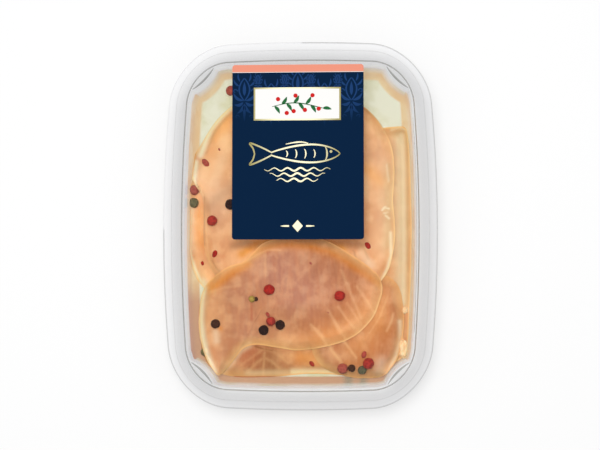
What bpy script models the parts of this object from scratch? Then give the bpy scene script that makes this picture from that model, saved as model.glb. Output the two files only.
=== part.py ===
"""Fish carpaccio in a clear sealed tray: thin round slices lying over each other, with mixed peppercorns.

Metres, +Z up. The tray stands on z = 0 with its long side along Y, and its rim is centred on the origin.
"""

import math

import bmesh
import bpy
import numpy as np
from mathutils import Vector
from mathutils.bvhtree import BVHTree

MM = 0.001

# The tray, a thermoformed shell. Its outlines are measured from the mouth, outwards.
RIM_LENGTH = 160 * MM
RIM_WIDTH = 119.3 * MM
RIM_BAND = 8.3 * MM
SEAL_BAND = 4.6 * MM
TRAY_HEIGHT = 20.5 * MM
WALL = 0.5 * MM
CORNER_RADIUS = 17.5 * MM
SIDE_BOW = 0.066  # share of the width by which a long side draws in towards its ends
END_BOW = 0.022  # likewise for a short side
LIP_DROP = 0.7 * MM
SKIRT_DEPTH = 2.2 * MM
SHOULDER = 1.0 * MM
SHOULDER_DEPTH = 1.9 * MM
DRAFT = math.radians(5.5)
BASE_RADIUS = 3.5 * MM
BEND_STEPS = 3

# A ledge fills each corner of the mouth. Seen from above it is a lens between two arcs.
LEDGE_HALF_ANGLE = math.radians(24)
LEDGE_DROP = 0.5 * MM

# The film and the label
CLEARANCE = 0.3 * MM
FILM_THICKNESS = 0.25 * MM
LABEL_WIDTH = 57.2 * MM
LABEL_LENGTH = 76.2 * MM
LABEL_CENTRE = (-0.8 * MM, 31.7 * MM)
LABEL_RADIUS = 1.3 * MM
LABEL_THICKNESS = 0.2 * MM
LABEL_CORNER_STEPS = 4

# The fish
SLICE_THICKNESS = 1.8 * MM
SLICE_GAP = 0.35 * MM
RING_SHARES = (0.22, 0.42, 0.6, 0.77, 0.91, 1.0)  # rings of points, from a slice's pole to its edge
RING_FULLNESS = (1.0, 1.0, 1.0, 1.0, 0.9, 0.4)  # how thick the slice is there
SLICE_POINTS = 40
CURVE_STEPS = 12  # steps between two corners of an outline
SMOOTH_ROUNDS = 12  # rounds in which a slice keeps some stiffness, and then rounds in which it only settles
SETTLE_ROUNDS = 30
STIFFNESS = 0.5
SAMPLES_A_SIDE = 6
HIGHEST_EDGE = 9.6 * MM  # an edge that would climb the wall past this is drawn in
MOST_DRAWN_IN = 0.75

# Peppercorns
BLACK_RADIUS = 2.2 * MM
PINK_RADIUS = 2.5 * MM
CHIP_LENGTH = 1.5 * MM
CHIP_SHAPE = (1, 0.6, 0.45)
SUNK = 0.45  # share of its radius by which a corn's middle lies above the fish

# Quarter outline of the tray, in segments
SIDE_STEPS = 2
ARC_STEPS = 2
LEDGE_STEPS = 6
END_STEPS = 2

GRID = 0.5 * MM


def clear_scene():
    for obj in list(bpy.data.objects):
        bpy.data.objects.remove(obj, do_unlink=True)


def material(name, colour, roughness, alpha=1.0, metallic=0.0):
    made = bpy.data.materials.new(name)
    made.use_nodes = True
    shader = made.node_tree.nodes["Principled BSDF"]
    shader.inputs["Base Color"].default_value = (*colour, 1.0)
    shader.inputs["Roughness"].default_value = roughness
    shader.inputs["Metallic"].default_value = metallic
    shader.inputs["Alpha"].default_value = alpha
    made.diffuse_color = (*colour, alpha)
    return made


def add_object(name, mesh, finish):
    obj = bpy.data.objects.new(name, mesh)
    mesh.materials.append(finish)
    bpy.context.scene.collection.objects.link(obj)
    return obj


# --- Outlines of the tray ---


def corner_arc(offset, notch):
    """One corner as (along the diagonal, across it), from its own centre.

    notch 0 follows the round corner. notch 1 follows the hollow arc that bounds the ledge.
    """
    round_radius = CORNER_RADIUS + offset
    hollow_radius = CORNER_RADIUS - offset
    apart = 2 * CORNER_RADIUS * math.cos(LEDGE_HALF_ANGLE)
    meet_along = (apart**2 + round_radius**2 - hollow_radius**2) / (2 * apart)
    meet_across = math.sqrt(round_radius**2 - meet_along**2)
    round_half = math.atan2(meet_across, meet_along)
    hollow_half = math.asin(meet_across / hollow_radius)
    points = []
    for step in range(ARC_STEPS):
        angle = -math.pi / 4 + (math.pi / 4 - round_half) * step / ARC_STEPS
        points.append((round_radius * math.cos(angle), round_radius * math.sin(angle)))
    for step in range(LEDGE_STEPS + 1):
        share = 2 * step / LEDGE_STEPS - 1
        turn, back = share * round_half, share * hollow_half
        outer = np.array((round_radius * math.cos(turn), round_radius * math.sin(turn)))
        inner = np.array((apart - hollow_radius * math.cos(back), hollow_radius * math.sin(back)))
        points.append(tuple(outer * (1 - notch) + inner * notch))
    points += [(along, -across) for along, across in reversed(points[:ARC_STEPS])]
    return points


def tray_outline(offset, notch=0.0):
    """The mouth's outline moved outwards by offset, anticlockwise from the middle of the +X side."""
    half_x = RIM_WIDTH / 2 - RIM_BAND + offset
    half_y = RIM_LENGTH / 2 - RIM_BAND + offset
    centre_x = half_x - CORNER_RADIUS - offset
    centre_y = half_y - CORNER_RADIUS - offset
    quarter = [(half_x, centre_y * step / SIDE_STEPS) for step in range(SIDE_STEPS)]
    for along, across in corner_arc(offset, notch):
        x, y = (along - across) / math.sqrt(2), (along + across) / math.sqrt(2)
        quarter.append((centre_x + x, centre_y + y))
    quarter += [(centre_x * (1 - step / END_STEPS), half_y) for step in range(1, END_STEPS + 1)]
    half = quarter + [(-x, y) for x, y in reversed(quarter[:-1])]
    whole = half + [(x, -y) for x, y in reversed(half[1:-1])]
    mouth_x = RIM_WIDTH / 2 - RIM_BAND
    mouth_y = RIM_LENGTH / 2 - RIM_BAND
    bowed = []
    for x, y in whole:
        bowed.append((x * (1 - SIDE_BOW * (y / mouth_y) ** 2), y * (1 - END_BOW * (x / mouth_x) ** 2)))
    return bowed


def loft(name, rings, finish):
    """A closed shell through rings of equally many points, with a flat cap on its first and last ring."""
    mesh = bmesh.new()
    rows = [[mesh.verts.new(point) for point in ring] for ring in rings]
    for lower, upper in zip(rows, rows[1:]):
        for i in range(len(lower)):
            after = (i + 1) % len(lower)
            mesh.faces.new((lower[i], lower[after], upper[after], upper[i]))
    mesh.faces.new(rows[0])
    mesh.faces.new(rows[-1])
    bmesh.ops.recalc_face_normals(mesh, faces=mesh.faces)
    bmesh.ops.triangulate(mesh, faces=mesh.faces)
    data = bpy.data.meshes.new(name)
    mesh.to_mesh(data)
    mesh.free()
    data.shade_smooth()
    data.set_sharp_from_angle(angle=math.radians(35))
    return add_object(name, data, finish)


def base_bend(radius):
    """The bend between floor and wall, as (offset, height) from the floor's edge up to the wall."""
    wall_foot = WALL + BASE_RADIUS * (1 - math.sin(DRAFT))
    lean = (TRAY_HEIGHT - SHOULDER_DEPTH - wall_foot) * math.tan(DRAFT)
    centre = -SHOULDER - lean - BASE_RADIUS * math.cos(DRAFT)
    bend = []
    for step in range(BEND_STEPS + 1):
        angle = -math.pi / 2 + (math.pi / 2 - DRAFT) * step / BEND_STEPS
        bend.append((centre + radius * math.cos(angle), WALL + BASE_RADIUS + radius * math.sin(angle)))
    return bend


def make_tray(finish):
    top = TRAY_HEIGHT
    inside = [(offset, height, 1) for offset, height in base_bend(BASE_RADIUS)]
    inside += [
        (-SHOULDER, top - SHOULDER_DEPTH, 1),
        (-0.85 * SHOULDER, top - 0.7 * SHOULDER_DEPTH, 1),
        (-0.45 * SHOULDER, top - 0.45 * SHOULDER_DEPTH, 1),
        (-0.15 * SHOULDER, top - 1.2 * LEDGE_DROP, 1),
        (-0.1 * SHOULDER, top - LEDGE_DROP, 0),
        (0, top, 0),
        (SEAL_BAND, top, 0),
        (SEAL_BAND + 0.15 * MM, top - 0.2 * MM, 0),
        (RIM_BAND - 0.35 * MM, top - LIP_DROP, 0),
        (RIM_BAND, top - 1.5 * LIP_DROP, 0),
        (RIM_BAND, top - SKIRT_DEPTH, 0),
    ]
    outside = [
        (RIM_BAND - WALL, top - SKIRT_DEPTH, 0),
        (RIM_BAND - WALL, top - 2 * LIP_DROP, 0),
        (SEAL_BAND, top - 0.2 * MM - WALL, 0),
        (WALL, top - WALL, 0),
        (WALL - 0.1 * SHOULDER, top - 1.2 * LEDGE_DROP - WALL, 0),
        (WALL - 0.15 * SHOULDER, top - 1.4 * LEDGE_DROP - WALL, 1),
        (0, top - SHOULDER_DEPTH + 0.45 * MM, 1),
        (WALL - SHOULDER, top - SHOULDER_DEPTH - 0.1 * MM, 1),
    ]
    outside += [(offset, height, 1) for offset, height in reversed(base_bend(BASE_RADIUS + WALL))]
    rings = []
    for offset, height, notch in inside + outside:
        rings.append([(x, y, height) for x, y in tray_outline(offset, notch)])
    return loft("tray", rings, finish)


def make_film(finish):
    low = TRAY_HEIGHT + CLEARANCE
    rim = tray_outline(SEAL_BAND)
    return loft("film", [[(x, y, z) for x, y in rim] for z in (low, low + FILM_THICKNESS)], finish)


def make_label(finish):
    low = TRAY_HEIGHT + CLEARANCE + FILM_THICKNESS + CLEARANCE
    rim = []
    for quarter, (side, end) in enumerate(((1, 1), (-1, 1), (-1, -1), (1, -1))):
        centre_x = LABEL_CENTRE[0] + side * (LABEL_WIDTH / 2 - LABEL_RADIUS)
        centre_y = LABEL_CENTRE[1] + end * (LABEL_LENGTH / 2 - LABEL_RADIUS)
        for step in range(LABEL_CORNER_STEPS + 1):
            angle = math.pi / 2 * (quarter + step / LABEL_CORNER_STEPS)
            x, y = LABEL_RADIUS * math.cos(angle), LABEL_RADIUS * math.sin(angle)
            rim.append((centre_x + x, centre_y + y))
    return loft("label", [[(x, y, z) for x, y in rim] for z in (low, low + LABEL_THICKNESS)], finish)


# --- What lies in the tray so far, as a map of heights ---


class Ground:
    """The height of what already lies in the tray, over a square grid."""

    def __init__(self):
        self.columns = int(RIM_WIDTH / GRID) + 1
        self.rows = int(RIM_LENGTH / GRID) + 1
        self.corner = (-RIM_WIDTH / 2, -RIM_LENGTH / 2)
        self.heights = np.zeros((self.rows, self.columns))

    def cover(self, obj, spread):
        """Lays an object on the map, widened by a number of grid cells so that sides are cleared too."""
        corners = [obj.matrix_world @ vertex.co for vertex in obj.data.vertices]
        tree = BVHTree.FromPolygons(corners, [tuple(face.vertices) for face in obj.data.polygons])
        found = np.zeros_like(self.heights)
        xs = [point.x for point in corners]
        ys = [point.y for point in corners]
        first_column = max(0, int((min(xs) - self.corner[0]) / GRID))
        last_column = min(self.columns, int((max(xs) - self.corner[0]) / GRID) + 2)
        first_row = max(0, int((min(ys) - self.corner[1]) / GRID))
        last_row = min(self.rows, int((max(ys) - self.corner[1]) / GRID) + 2)
        down = Vector((0, 0, -1))
        for row in range(first_row, last_row):
            for column in range(first_column, last_column):
                x, y = self.corner[0] + column * GRID, self.corner[1] + row * GRID
                hit = tree.ray_cast(Vector((x, y, 2 * TRAY_HEIGHT)), down)[0]
                if hit is not None:
                    found[row, column] = hit.z
        wide = found.copy()
        for up in range(-spread, spread + 1):
            for across in range(-spread, spread + 1):
                if up * up + across * across <= spread * spread + 1:
                    wide = np.maximum(wide, np.roll(found, (up, across), (0, 1)))
        self.heights = np.maximum(self.heights, wide)

    def at(self, places):
        """Heights at an array of (x, y), read between the grid's points."""
        across = np.clip((places[..., 0] - self.corner[0]) / GRID, 0, self.columns - 1.001)
        up = np.clip((places[..., 1] - self.corner[1]) / GRID, 0, self.rows - 1.001)
        column, row = across.astype(int), up.astype(int)
        right, top = across - column, up - row
        low = self.heights[row, column] * (1 - right) + self.heights[row, column + 1] * right
        high = self.heights[row + 1, column] * (1 - right) + self.heights[row + 1, column + 1] * right
        return low * (1 - top) + high * top


# --- Slices ---


def smooth_outline(corners, count):
    """Equally spaced points on a closed Catmull-Rom curve through the corners."""
    corners = np.array(corners, float) * MM
    fine = []
    for i in range(len(corners)):
        before, start, end, after = (corners[(i + k) % len(corners)] for k in (-1, 0, 1, 2))
        for t in np.linspace(0, 1, CURVE_STEPS, endpoint=False):
            bend = 2 * before - 5 * start + 4 * end - after
            twist = -before + 3 * start - 3 * end + after
            fine.append(0.5 * (2 * start + (end - before) * t + bend * t**2 + twist * t**3))
    fine = np.array(fine + fine[:1])
    walked = np.concatenate([[0], np.cumsum(np.linalg.norm(np.diff(fine, axis=0), axis=1))])
    wanted = np.linspace(0, walked[-1], count, endpoint=False)
    return np.stack([np.interp(wanted, walked, fine[:, axis]) for axis in (0, 1)], axis=1)


def drape(places, triangles, ground):
    """Heights at which these flat triangles lie on the ground, just clear of it all over."""
    shares = []
    for i in range(SAMPLES_A_SIDE + 1):
        for j in range(SAMPLES_A_SIDE + 1 - i):
            shares.append((i, j, SAMPLES_A_SIDE - i - j))
    shares = np.array(shares) / SAMPLES_A_SIDE
    spots = np.einsum("sk,tkd->tsd", shares, places[triangles])
    needed = ground.at(spots) + SLICE_GAP
    weights = shares / (shares**2).sum(axis=1, keepdims=True)
    heights = ground.at(places) + SLICE_GAP
    neighbours = np.zeros(len(places))
    np.add.at(neighbours, triangles, 1)
    for turn in range(SMOOTH_ROUNDS + SETTLE_ROUNDS):
        if turn < SMOOTH_ROUNDS:
            around = np.zeros(len(places))
            np.add.at(around, triangles, heights[np.roll(triangles, 1, axis=1)])
            heights = heights * (1 - STIFFNESS) + around / neighbours * STIFFNESS
        lack = np.maximum(needed - np.einsum("sk,tk->ts", shares, heights[triangles]), 0)
        lift = (lack[:, :, None] * weights[None]).max(axis=1)
        raised = np.zeros_like(heights)
        np.maximum.at(raised, triangles, lift)
        heights = heights + raised
    return heights


def drawn_in(edge, middle, ground):
    """The outline, with each point moved towards the pole until it no longer stands up at the wall."""
    shares = np.ones(len(edge))
    for share in np.linspace(1, MOST_DRAWN_IN, 51):
        reached = middle + shares[:, None] * (edge - middle)
        shares = np.where(ground.at(reached) > HIGHEST_EDGE, share, shares)
    eased = (np.roll(shares, 1) + shares + np.roll(shares, -1)) / 3
    return middle + np.minimum(shares, eased)[:, None] * (edge - middle)


def make_slice(name, ground, finish, pole, corners, thickness=SLICE_THICKNESS):
    """A thin slice that drapes over what lies below. pole is a point that sees all of its outline."""
    middle = np.array(pole) * MM
    edge = drawn_in(smooth_outline(corners, SLICE_POINTS), middle, ground)
    places = np.concatenate([[middle]] + [middle + share * (edge - middle) for share in RING_SHARES])
    fullness = np.concatenate([[1.0]] + [np.full(SLICE_POINTS, full) for full in RING_FULLNESS])
    sheet = []
    for i in range(SLICE_POINTS):
        after = (i + 1) % SLICE_POINTS
        sheet.append((0, 1 + i, 1 + after))
        for ring in range(len(RING_SHARES) - 1):
            near, far = 1 + ring * SLICE_POINTS, 1 + (ring + 1) * SLICE_POINTS
            sheet += [(near + i, far + i, far + after), (near + i, far + after, near + after)]
    sheet = np.array(sheet)
    under = drape(places, sheet, ground)
    over = under + thickness * fullness
    total = len(places)
    points = np.concatenate([np.column_stack([places, under]), np.column_stack([places, over])])
    faces = [tuple(reversed(face)) for face in sheet.tolist()]
    faces += [tuple(corner + total for corner in face) for face in sheet.tolist()]
    last = 1 + (len(RING_SHARES) - 1) * SLICE_POINTS
    for i in range(SLICE_POINTS):
        low, low_after = last + i, last + (i + 1) % SLICE_POINTS
        faces += [(low, low_after, low_after + total), (low, low_after + total, low + total)]
    mesh = bpy.data.meshes.new(name)
    mesh.from_pydata(points.tolist(), [], faces)
    fixed = bmesh.new()
    fixed.from_mesh(mesh)
    bmesh.ops.recalc_face_normals(fixed, faces=fixed.faces)
    fixed.to_mesh(mesh)
    fixed.free()
    mesh.shade_smooth()
    mesh.set_sharp_from_angle(angle=math.radians(50))
    return add_object(name, mesh, finish)


# Each slice in the order in which it was laid: its name, its pole and its outline, in millimetres.
SLICES = (
    (
        "slice_floor_right",
        (22, 0),
        ((33, 43), (41, 44), (46.2, 43.2), (48, 30), (48.6, 10), (48.6, -12), (48, -34), (47.8, -49),
         (46, -57.5), (40, -60), (30, -58), (18, -53), (6, -40), (-2, -20), (-3, 4), (4, 26), (20, 39)),
    ),
    (
        "slice_floor_top",
        (-10, 26),
        ((-29, 50), (-37, 42), (-41, 30), (-42, 16), (-39, 3), (-27, -5), (-8, -5), (12, 1), (23, 17),
         (26, 34), (21, 48), (8, 56), (-10, 58)),
    ),
    (
        "slice_floor_front",
        (0, -48),
        ((-43, -46), (-43, -56), (-38, -63), (-28, -66), (-12, -65.5), (4, -64), (20, -65), (31, -64),
         (38, -58), (42, -48), (42, -38), (31, -31), (8, -30), (-18, -30), (-37, -34)),
    ),
    (
        "slice_corner",
        (24, -46),
        ((8, -45), (5, -54), (10, -62), (21, -66), (30, -66.5), (37.5, -65), (42, -58), (44.5, -47),
         (44.5, -36), (42, -26), (34, -21), (23, -24), (13, -33)),
    ),
    (
        "slice_left",
        (-25, -5),
        ((-47.5, 21), (-49.5, 8), (-49.5, -5), (-47.8, -16), (-43, -26), (-31, -31), (-16, -28), (-6, -16),
         (-4, 1), (-10, 15), (-25, 23), (-39, 26)),
    ),
    (
        "slice_upper",
        (-2, 12),
        ((-31, 53.5), (-40, 44), (-45, 33), (-46.3, 23), (-43, 16.5), (-42.5, 8), (-42.5, -7), (-40, -17),
         (-32, -27), (-16, -35), (4, -38), (22, -34), (36, -22), (40.3, -8), (40.5, 4), (39.8, 12),
         (40.5, 23), (40, 31), (37.5, 40), (28.5, 52), (12.5, 59.5), (-4, 61.5), (-19, 60)),
    ),
    (
        "slice_front",
        (-17, -36),
        ((-45.5, -40), (-43, -27), (-33, -18.5), (-24, -15), (-18, -8.5), (-7, -4.8), (5, -5),
         (15.5, -8.8), (29.5, -18), (35, -24), (35, -30), (31, -40.5), (20, -50), (0, -54.4), (-14, -52.6),
         (-22.5, -52), (-26.5, -54.6), (-30, -59), (-34.5, -64.6), (-38, -66), (-41.6, -60.4), (-44.5, -50)),
    ),
)

# Corns and chips: kind, slice, x and y in millimetres
PEPPER = (
    ("black", "slice_front", -37.9, -43),
    ("black", "slice_front", -16.6, -45.8),
    ("black", "slice_front", -9.3, -43.4),
    ("pink", "slice_front", -13.4, -41.9),
    ("pink", "slice_front", -14, -28),
    ("pink", "slice_front", 17, -30.7),
    ("green", "slice_front", -21.7, -32.1),
    ("chip", "slice_front", -14.8, -38.3),
    ("chip", "slice_front", 4.3, -16.4),
    ("black", "slice_upper", -31.3, 9.7),
    ("pink", "slice_upper", -39, 2.5),
    ("chip", "slice_upper", -42, 28.3),
    ("chip", "slice_upper", -36.5, 34.4),
    ("chip", "slice_upper", -38.3, -12),
    ("chip", "slice_upper", 10.5, -8),
    ("chip", "slice_upper", 29.4, -8.6),
    ("pink", "slice_left", -46.8, 16.4),
    ("green", "slice_left", -46.9, 10.6),
    ("chip", "slice_left", -44, -16),
    ("green", "slice_floor_front", -42.7, -55.7),
    ("chip", "slice_floor_front", 4.6, -60.6),
    ("pink", "slice_corner", 29.5, -60.2),
    ("pink", "slice_corner", 18.2, -62.4),
    ("black", "slice_corner", 22.3, -62.4),
    ("green", "slice_corner", 26.6, -63.1),
    ("chip", "slice_corner", 27.7, -56.2),
)
LOOSE_CORN = (-31.7, 61)


def make_corn(name, kind, place, finishes):
    """A peppercorn of few faces, or a flat chip of one."""
    mesh = bmesh.new()
    if kind == "chip":
        bmesh.ops.create_icosphere(mesh, subdivisions=1, radius=CHIP_LENGTH)
        bmesh.ops.scale(mesh, vec=CHIP_SHAPE, verts=mesh.verts)
    else:
        radius = BLACK_RADIUS if kind == "black" else PINK_RADIUS
        bmesh.ops.create_uvsphere(mesh, u_segments=6, v_segments=4, radius=radius)
    data = bpy.data.meshes.new(name)
    mesh.to_mesh(data)
    mesh.free()
    obj = add_object(name, data, finishes["pink" if kind == "chip" else kind])
    obj.location = place
    obj.rotation_euler.z = place[0] / MM
    return obj


def height_on(obj, x, y):
    tree = BVHTree.FromPolygons(
        [vertex.co for vertex in obj.data.vertices], [tuple(face.vertices) for face in obj.data.polygons]
    )
    return tree.ray_cast(Vector((x, y, 2 * TRAY_HEIGHT)), Vector((0, 0, -1)))[0].z


def fuse_pepper(fish, finishes):
    """Joins the corns that lie on a slice to it, by one Boolean union."""
    held = [(kind, x * MM, y * MM) for kind, owner, x, y in PEPPER if owner == fish.name]
    if not held:
        return
    group = bpy.data.collections.new(fish.name + "_pepper")
    bpy.context.scene.collection.children.link(group)
    for number, (kind, x, y) in enumerate(held):
        radius = {"chip": CHIP_SHAPE[2] * CHIP_LENGTH, "black": BLACK_RADIUS}.get(kind, PINK_RADIUS)
        place = (x, y, height_on(fish, x, y) + SUNK * radius)
        corn = make_corn(f"{fish.name}_corn_{number}", kind, place, finishes)
        bpy.context.scene.collection.objects.unlink(corn)
        group.objects.link(corn)
    union = fish.modifiers.new("pepper", "BOOLEAN")
    union.operation = "UNION"
    union.operand_type = "COLLECTION"
    union.collection = group
    union.solver = "EXACT"
    union.material_mode = "TRANSFER"
    graph = bpy.context.evaluated_depsgraph_get()
    joined = bpy.data.meshes.new_from_object(fish.evaluated_get(graph))
    fish.modifiers.clear()
    fish.data = joined
    for corn in list(group.objects):
        bpy.data.objects.remove(corn, do_unlink=True)
    bpy.data.collections.remove(group)


def main():
    clear_scene()
    clear_plastic = material("clear plastic", (0.9, 0.92, 0.93), 0.08, alpha=0.35)
    clear_film = material("clear film", (0.95, 0.95, 0.95), 0.05, alpha=0.2)
    print_blue = material("dark blue print", (0.008, 0.03, 0.085), 0.4)
    fish_pink = material("pale salmon", (0.85, 0.42, 0.24), 0.35)
    pepper = {
        "black": material("black pepper", (0.02, 0.015, 0.012), 0.6),
        "pink": material("pink pepper", (0.45, 0.05, 0.04), 0.45),
        "green": material("green pepper", (0.08, 0.1, 0.06), 0.6),
    }
    tray = make_tray(clear_plastic)
    make_film(clear_film)
    make_label(print_blue)
    ground = Ground()
    ground.cover(tray, spread=2)
    loose_height = WALL + CLEARANCE + PINK_RADIUS
    make_corn("peppercorn_loose", "pink", (LOOSE_CORN[0] * MM, LOOSE_CORN[1] * MM, loose_height), pepper)
    for name, pole, corners in SLICES:
        fish = make_slice(name, ground, fish_pink, pole, corners)
        fuse_pepper(fish, pepper)
        ground.cover(fish, spread=1)


main()
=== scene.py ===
# %% [markdown]
# # Fish carpaccio in a clear sealed tray
#
# A shallow tray of clear formed plastic holds thin slices of cured salmon, laid over each other in oil
# with a few peppercorns. A clear film is sealed over the rim, and a printed label lies on the film. The
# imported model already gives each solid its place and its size. This script gives every one of them a
# finer shape and a finish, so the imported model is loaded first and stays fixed.

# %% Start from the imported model
import math

import bmesh
import bpy
import numpy as np
from mathutils import Matrix, Vector, noise
from mathutils.bvhtree import BVHTree


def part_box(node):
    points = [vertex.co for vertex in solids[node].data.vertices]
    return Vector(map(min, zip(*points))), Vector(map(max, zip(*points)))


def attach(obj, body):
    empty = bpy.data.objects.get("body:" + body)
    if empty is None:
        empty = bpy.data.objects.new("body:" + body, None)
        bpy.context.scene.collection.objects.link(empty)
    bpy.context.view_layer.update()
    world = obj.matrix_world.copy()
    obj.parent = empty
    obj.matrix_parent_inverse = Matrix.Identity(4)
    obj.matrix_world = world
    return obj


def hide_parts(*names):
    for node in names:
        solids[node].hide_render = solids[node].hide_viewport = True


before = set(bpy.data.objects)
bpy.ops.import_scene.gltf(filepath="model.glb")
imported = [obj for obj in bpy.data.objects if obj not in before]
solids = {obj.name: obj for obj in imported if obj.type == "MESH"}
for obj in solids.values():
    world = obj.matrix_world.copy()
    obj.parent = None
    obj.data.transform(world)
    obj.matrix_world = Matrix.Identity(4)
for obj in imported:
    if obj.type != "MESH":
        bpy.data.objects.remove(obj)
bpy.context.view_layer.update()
MM = 0.001
print("solids:", ", ".join(sorted(solids)))

# %% [markdown]
# ## Writing a finish as a formula
#
# A finish in Blender is a graph of nodes, and a long graph made call by call is hard to read. Sums on
# its sockets could be drawn by hand in the editor, or built by one small class whose operators add the
# nodes. The class is chosen here, because `1 - mask * 0.5` then reads as what it does. Everything that
# isn't a sum comes from one method, which takes the kind of node, its settings and its sockets.


# %% A socket that can be added, subtracted and scaled
class Signal:
    """A socket that gives one number, colour or shader at each point of a surface."""

    def __init__(self, finish, socket):
        self.finish, self.socket = finish, socket

    def sum(self, operation, first, second, settings=None):
        """One step of arithmetic on sockets or numbers."""
        return self.finish.node("Math", {"operation": operation, **(settings or {})}, {0: first, 1: second})

    def __add__(self, other):
        return self.sum("ADD", self, other)

    def __sub__(self, other):
        return self.sum("SUBTRACT", self, other)

    def __rsub__(self, other):
        return self.sum("SUBTRACT", other, self)

    def __mul__(self, other):
        return self.sum("MULTIPLY", self, other)

    __radd__, __rmul__ = __add__, __mul__

    def clamped(self):
        """The same value, kept from 0 to 1."""
        return self.sum("ADD", self, 0.0, {"use_clamp": True})


# %% A finish, and the one way to add a node to it
class Finish:
    """A material, or the sky, that is written as expressions."""

    def __init__(self, name, kind="materials"):
        self.material = getattr(bpy.data, kind).new(name)
        self.material.use_nodes = True
        self.tree = self.material.node_tree
        self.tree.nodes.clear()

    def node(self, kind, settings=None, sockets=None, output=0):
        """Adds a node, sets it, fills or links its sockets, and gives one of its outputs."""
        made = self.tree.nodes.new("ShaderNode" + kind)
        for name, value in (settings or {}).items():
            setattr(made, name, value)
        for key, value in (sockets or {}).items():
            if isinstance(value, Signal):
                self.tree.links.new(value.socket, made.inputs[key])
            else:
                made.inputs[key].default_value = value
        return Signal(self, made.outputs[output])

    def mix(self, share, first, second):
        """The first colour where the share is 0, and the second where it is 1."""
        return self.node("Mix", {"data_type": "RGBA"}, {0: share, 6: first, 7: second}, output=2)

    def step(self, value, low, high):
        """0 below low, 1 above high, and a soft slope between them."""
        ends = {"Value": value, "From Min": low, "From Max": high}
        return self.node("MapRange", {"interpolation_type": "SMOOTHSTEP"}, ends)

    def painted(self, name):
        """A value that was kept at each point of the mesh."""
        return self.node("Attribute", {"attribute_name": name}, output="Fac")

    def place(self, axis=None):
        """The place on the object, or its part along X, Y or Z."""
        whole = self.node("TexCoord", output="Object")
        return self.node("SeparateXYZ", {}, {"Vector": whole}, output=axis) if axis else whole

    def cloud(self, scale, detail=3.0, where=None):
        """Soft noise round 0.5."""
        sockets = {"Vector": where or self.place(), "Scale": scale, "Detail": detail}
        return self.node("TexNoise", {}, sockets, output="Fac")

    def grain(self, scale, turn, detail):
        """A cloud that is drawn out: scale is its fineness by axis, after a turn about Z."""
        sockets = {"Vector": self.place(), "Rotation": (0, 0, turn), "Scale": scale}
        return self.cloud(1.0, detail, self.node("Mapping", {}, sockets))

    def relief(self, height, distance, strength=1.0):
        """A surface that looks uneven by this height."""
        return self.node("Bump", {}, {"Height": height, "Distance": distance, "Strength": strength})

    def done(self, surface, volume=None, output="OutputMaterial"):
        """Ends the finish with a shader, or with a plain surface of the given sockets."""
        if isinstance(surface, dict):
            surface = self.node("BsdfPrincipled", {}, surface)
        made = self.tree.nodes.new("ShaderNode" + output)
        self.tree.links.new(surface.socket, made.inputs["Surface"])
        if volume:
            self.tree.links.new(volume.socket, made.inputs["Volume"])
        return self


# %% Colours from the levels of a picture
def colour(red, green, blue):
    """A colour of 0 to 255 a channel, as the linear values that a shader takes."""
    linear = []
    for value in (red / 255, green / 255, blue / 255):
        linear.append(value / 12.92 if value <= 0.04045 else ((value + 0.055) / 1.055) ** 2.4)
    return (*linear, 1.0)


WHITE = colour(255, 255, 255)
print("middle grey:", round(colour(128, 128, 128)[0], 3))

# %% [markdown]
# ## Clear things that let light through
#
# Plastic and oil bend what is seen through them, and they also pass light on to what lies below. A path
# tracer can follow the view through them easily, but finds the light behind two bent surfaces only by
# chance, which gives speckle. One could raise the samples a lot. Here each clear finish bends the view,
# while shadow rays and diffuse rays pass straight through with the tint that the material gives them.


# %% One maker for every solid clear finish
def clear_finish(name, tint, passing, roughness, ior, gloss=0.0, relief=None, absorbed=None, hidden=None):
    """Glass for the view, and a plain tinted pass for the light.

    tint is a colour or a formula, relief is (scale, depth) and absorbed is (colour, density). hidden
    names a painted mark: where it is 1, the view passes too. gloss is the share of a shiny coat.
    """
    finish = Finish(name)
    tint = tint(finish) if callable(tint) else tint
    look = {"Base Color": tint, "Roughness": roughness, "IOR": ior, "Transmission Weight": 1.0}
    look |= {"Coat Weight": gloss, "Coat IOR": 1.5, "Coat Roughness": 0.05}
    if relief:
        look["Normal"] = finish.relief(finish.cloud(relief[0], 2.0), relief[1])
    seen = finish.node("BsdfPrincipled", {}, look)
    straight = finish.node("BsdfTransparent", {}, {"Color": passing})
    passed = [finish.painted(hidden)] if hidden else []
    passed += [finish.node("LightPath", output=f"Is {kind} Ray") for kind in ("Diffuse", "Shadow")]
    for share in passed:
        seen = finish.node("MixShader", {}, {0: share, 1: seen, 2: straight})
    volume = None
    if absorbed:
        volume = finish.node("VolumeAbsorption", {}, {"Color": absorbed[0], "Density": absorbed[1]})
    return finish.done(seen, volume)


# %% Placing a finished mesh
def add_piece(name, points, faces, finishes, slot, *replaced, marks=None, sharp=None):
    """A mesh that rides with the tray and stands for the replaced solids.

    marks gives painted values by name, one for each point. With an angle sharp, the faces of the closed
    mesh are turned outwards, and edges steeper than that stay sharp. slot is not used.
    """
    mesh = bpy.data.meshes.new(name)
    mesh.from_pydata(np.asarray(points).tolist(), [], faces)
    mesh.shade_smooth()
    for finish in finishes:
        mesh.materials.append(finish.material)
    if sharp:
        turned = bmesh.new()
        turned.from_mesh(mesh)
        bmesh.ops.recalc_face_normals(turned, faces=turned.faces)
        turned.to_mesh(mesh)
        turned.free()
        mesh.set_sharp_from_angle(angle=math.radians(sharp))
    for mark, values in (marks or {}).items():
        kept = mesh.attributes.new(mark, "FLOAT", "POINT")
        kept.data.foreach_set("value", np.ravel(values).astype(np.float32))
    piece = bpy.data.objects.new(name, mesh)
    bpy.context.scene.collection.objects.link(piece)
    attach(piece, "root")
    if replaced:
        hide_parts(*replaced)
    print(name, len(points), "points")
    return piece


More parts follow.
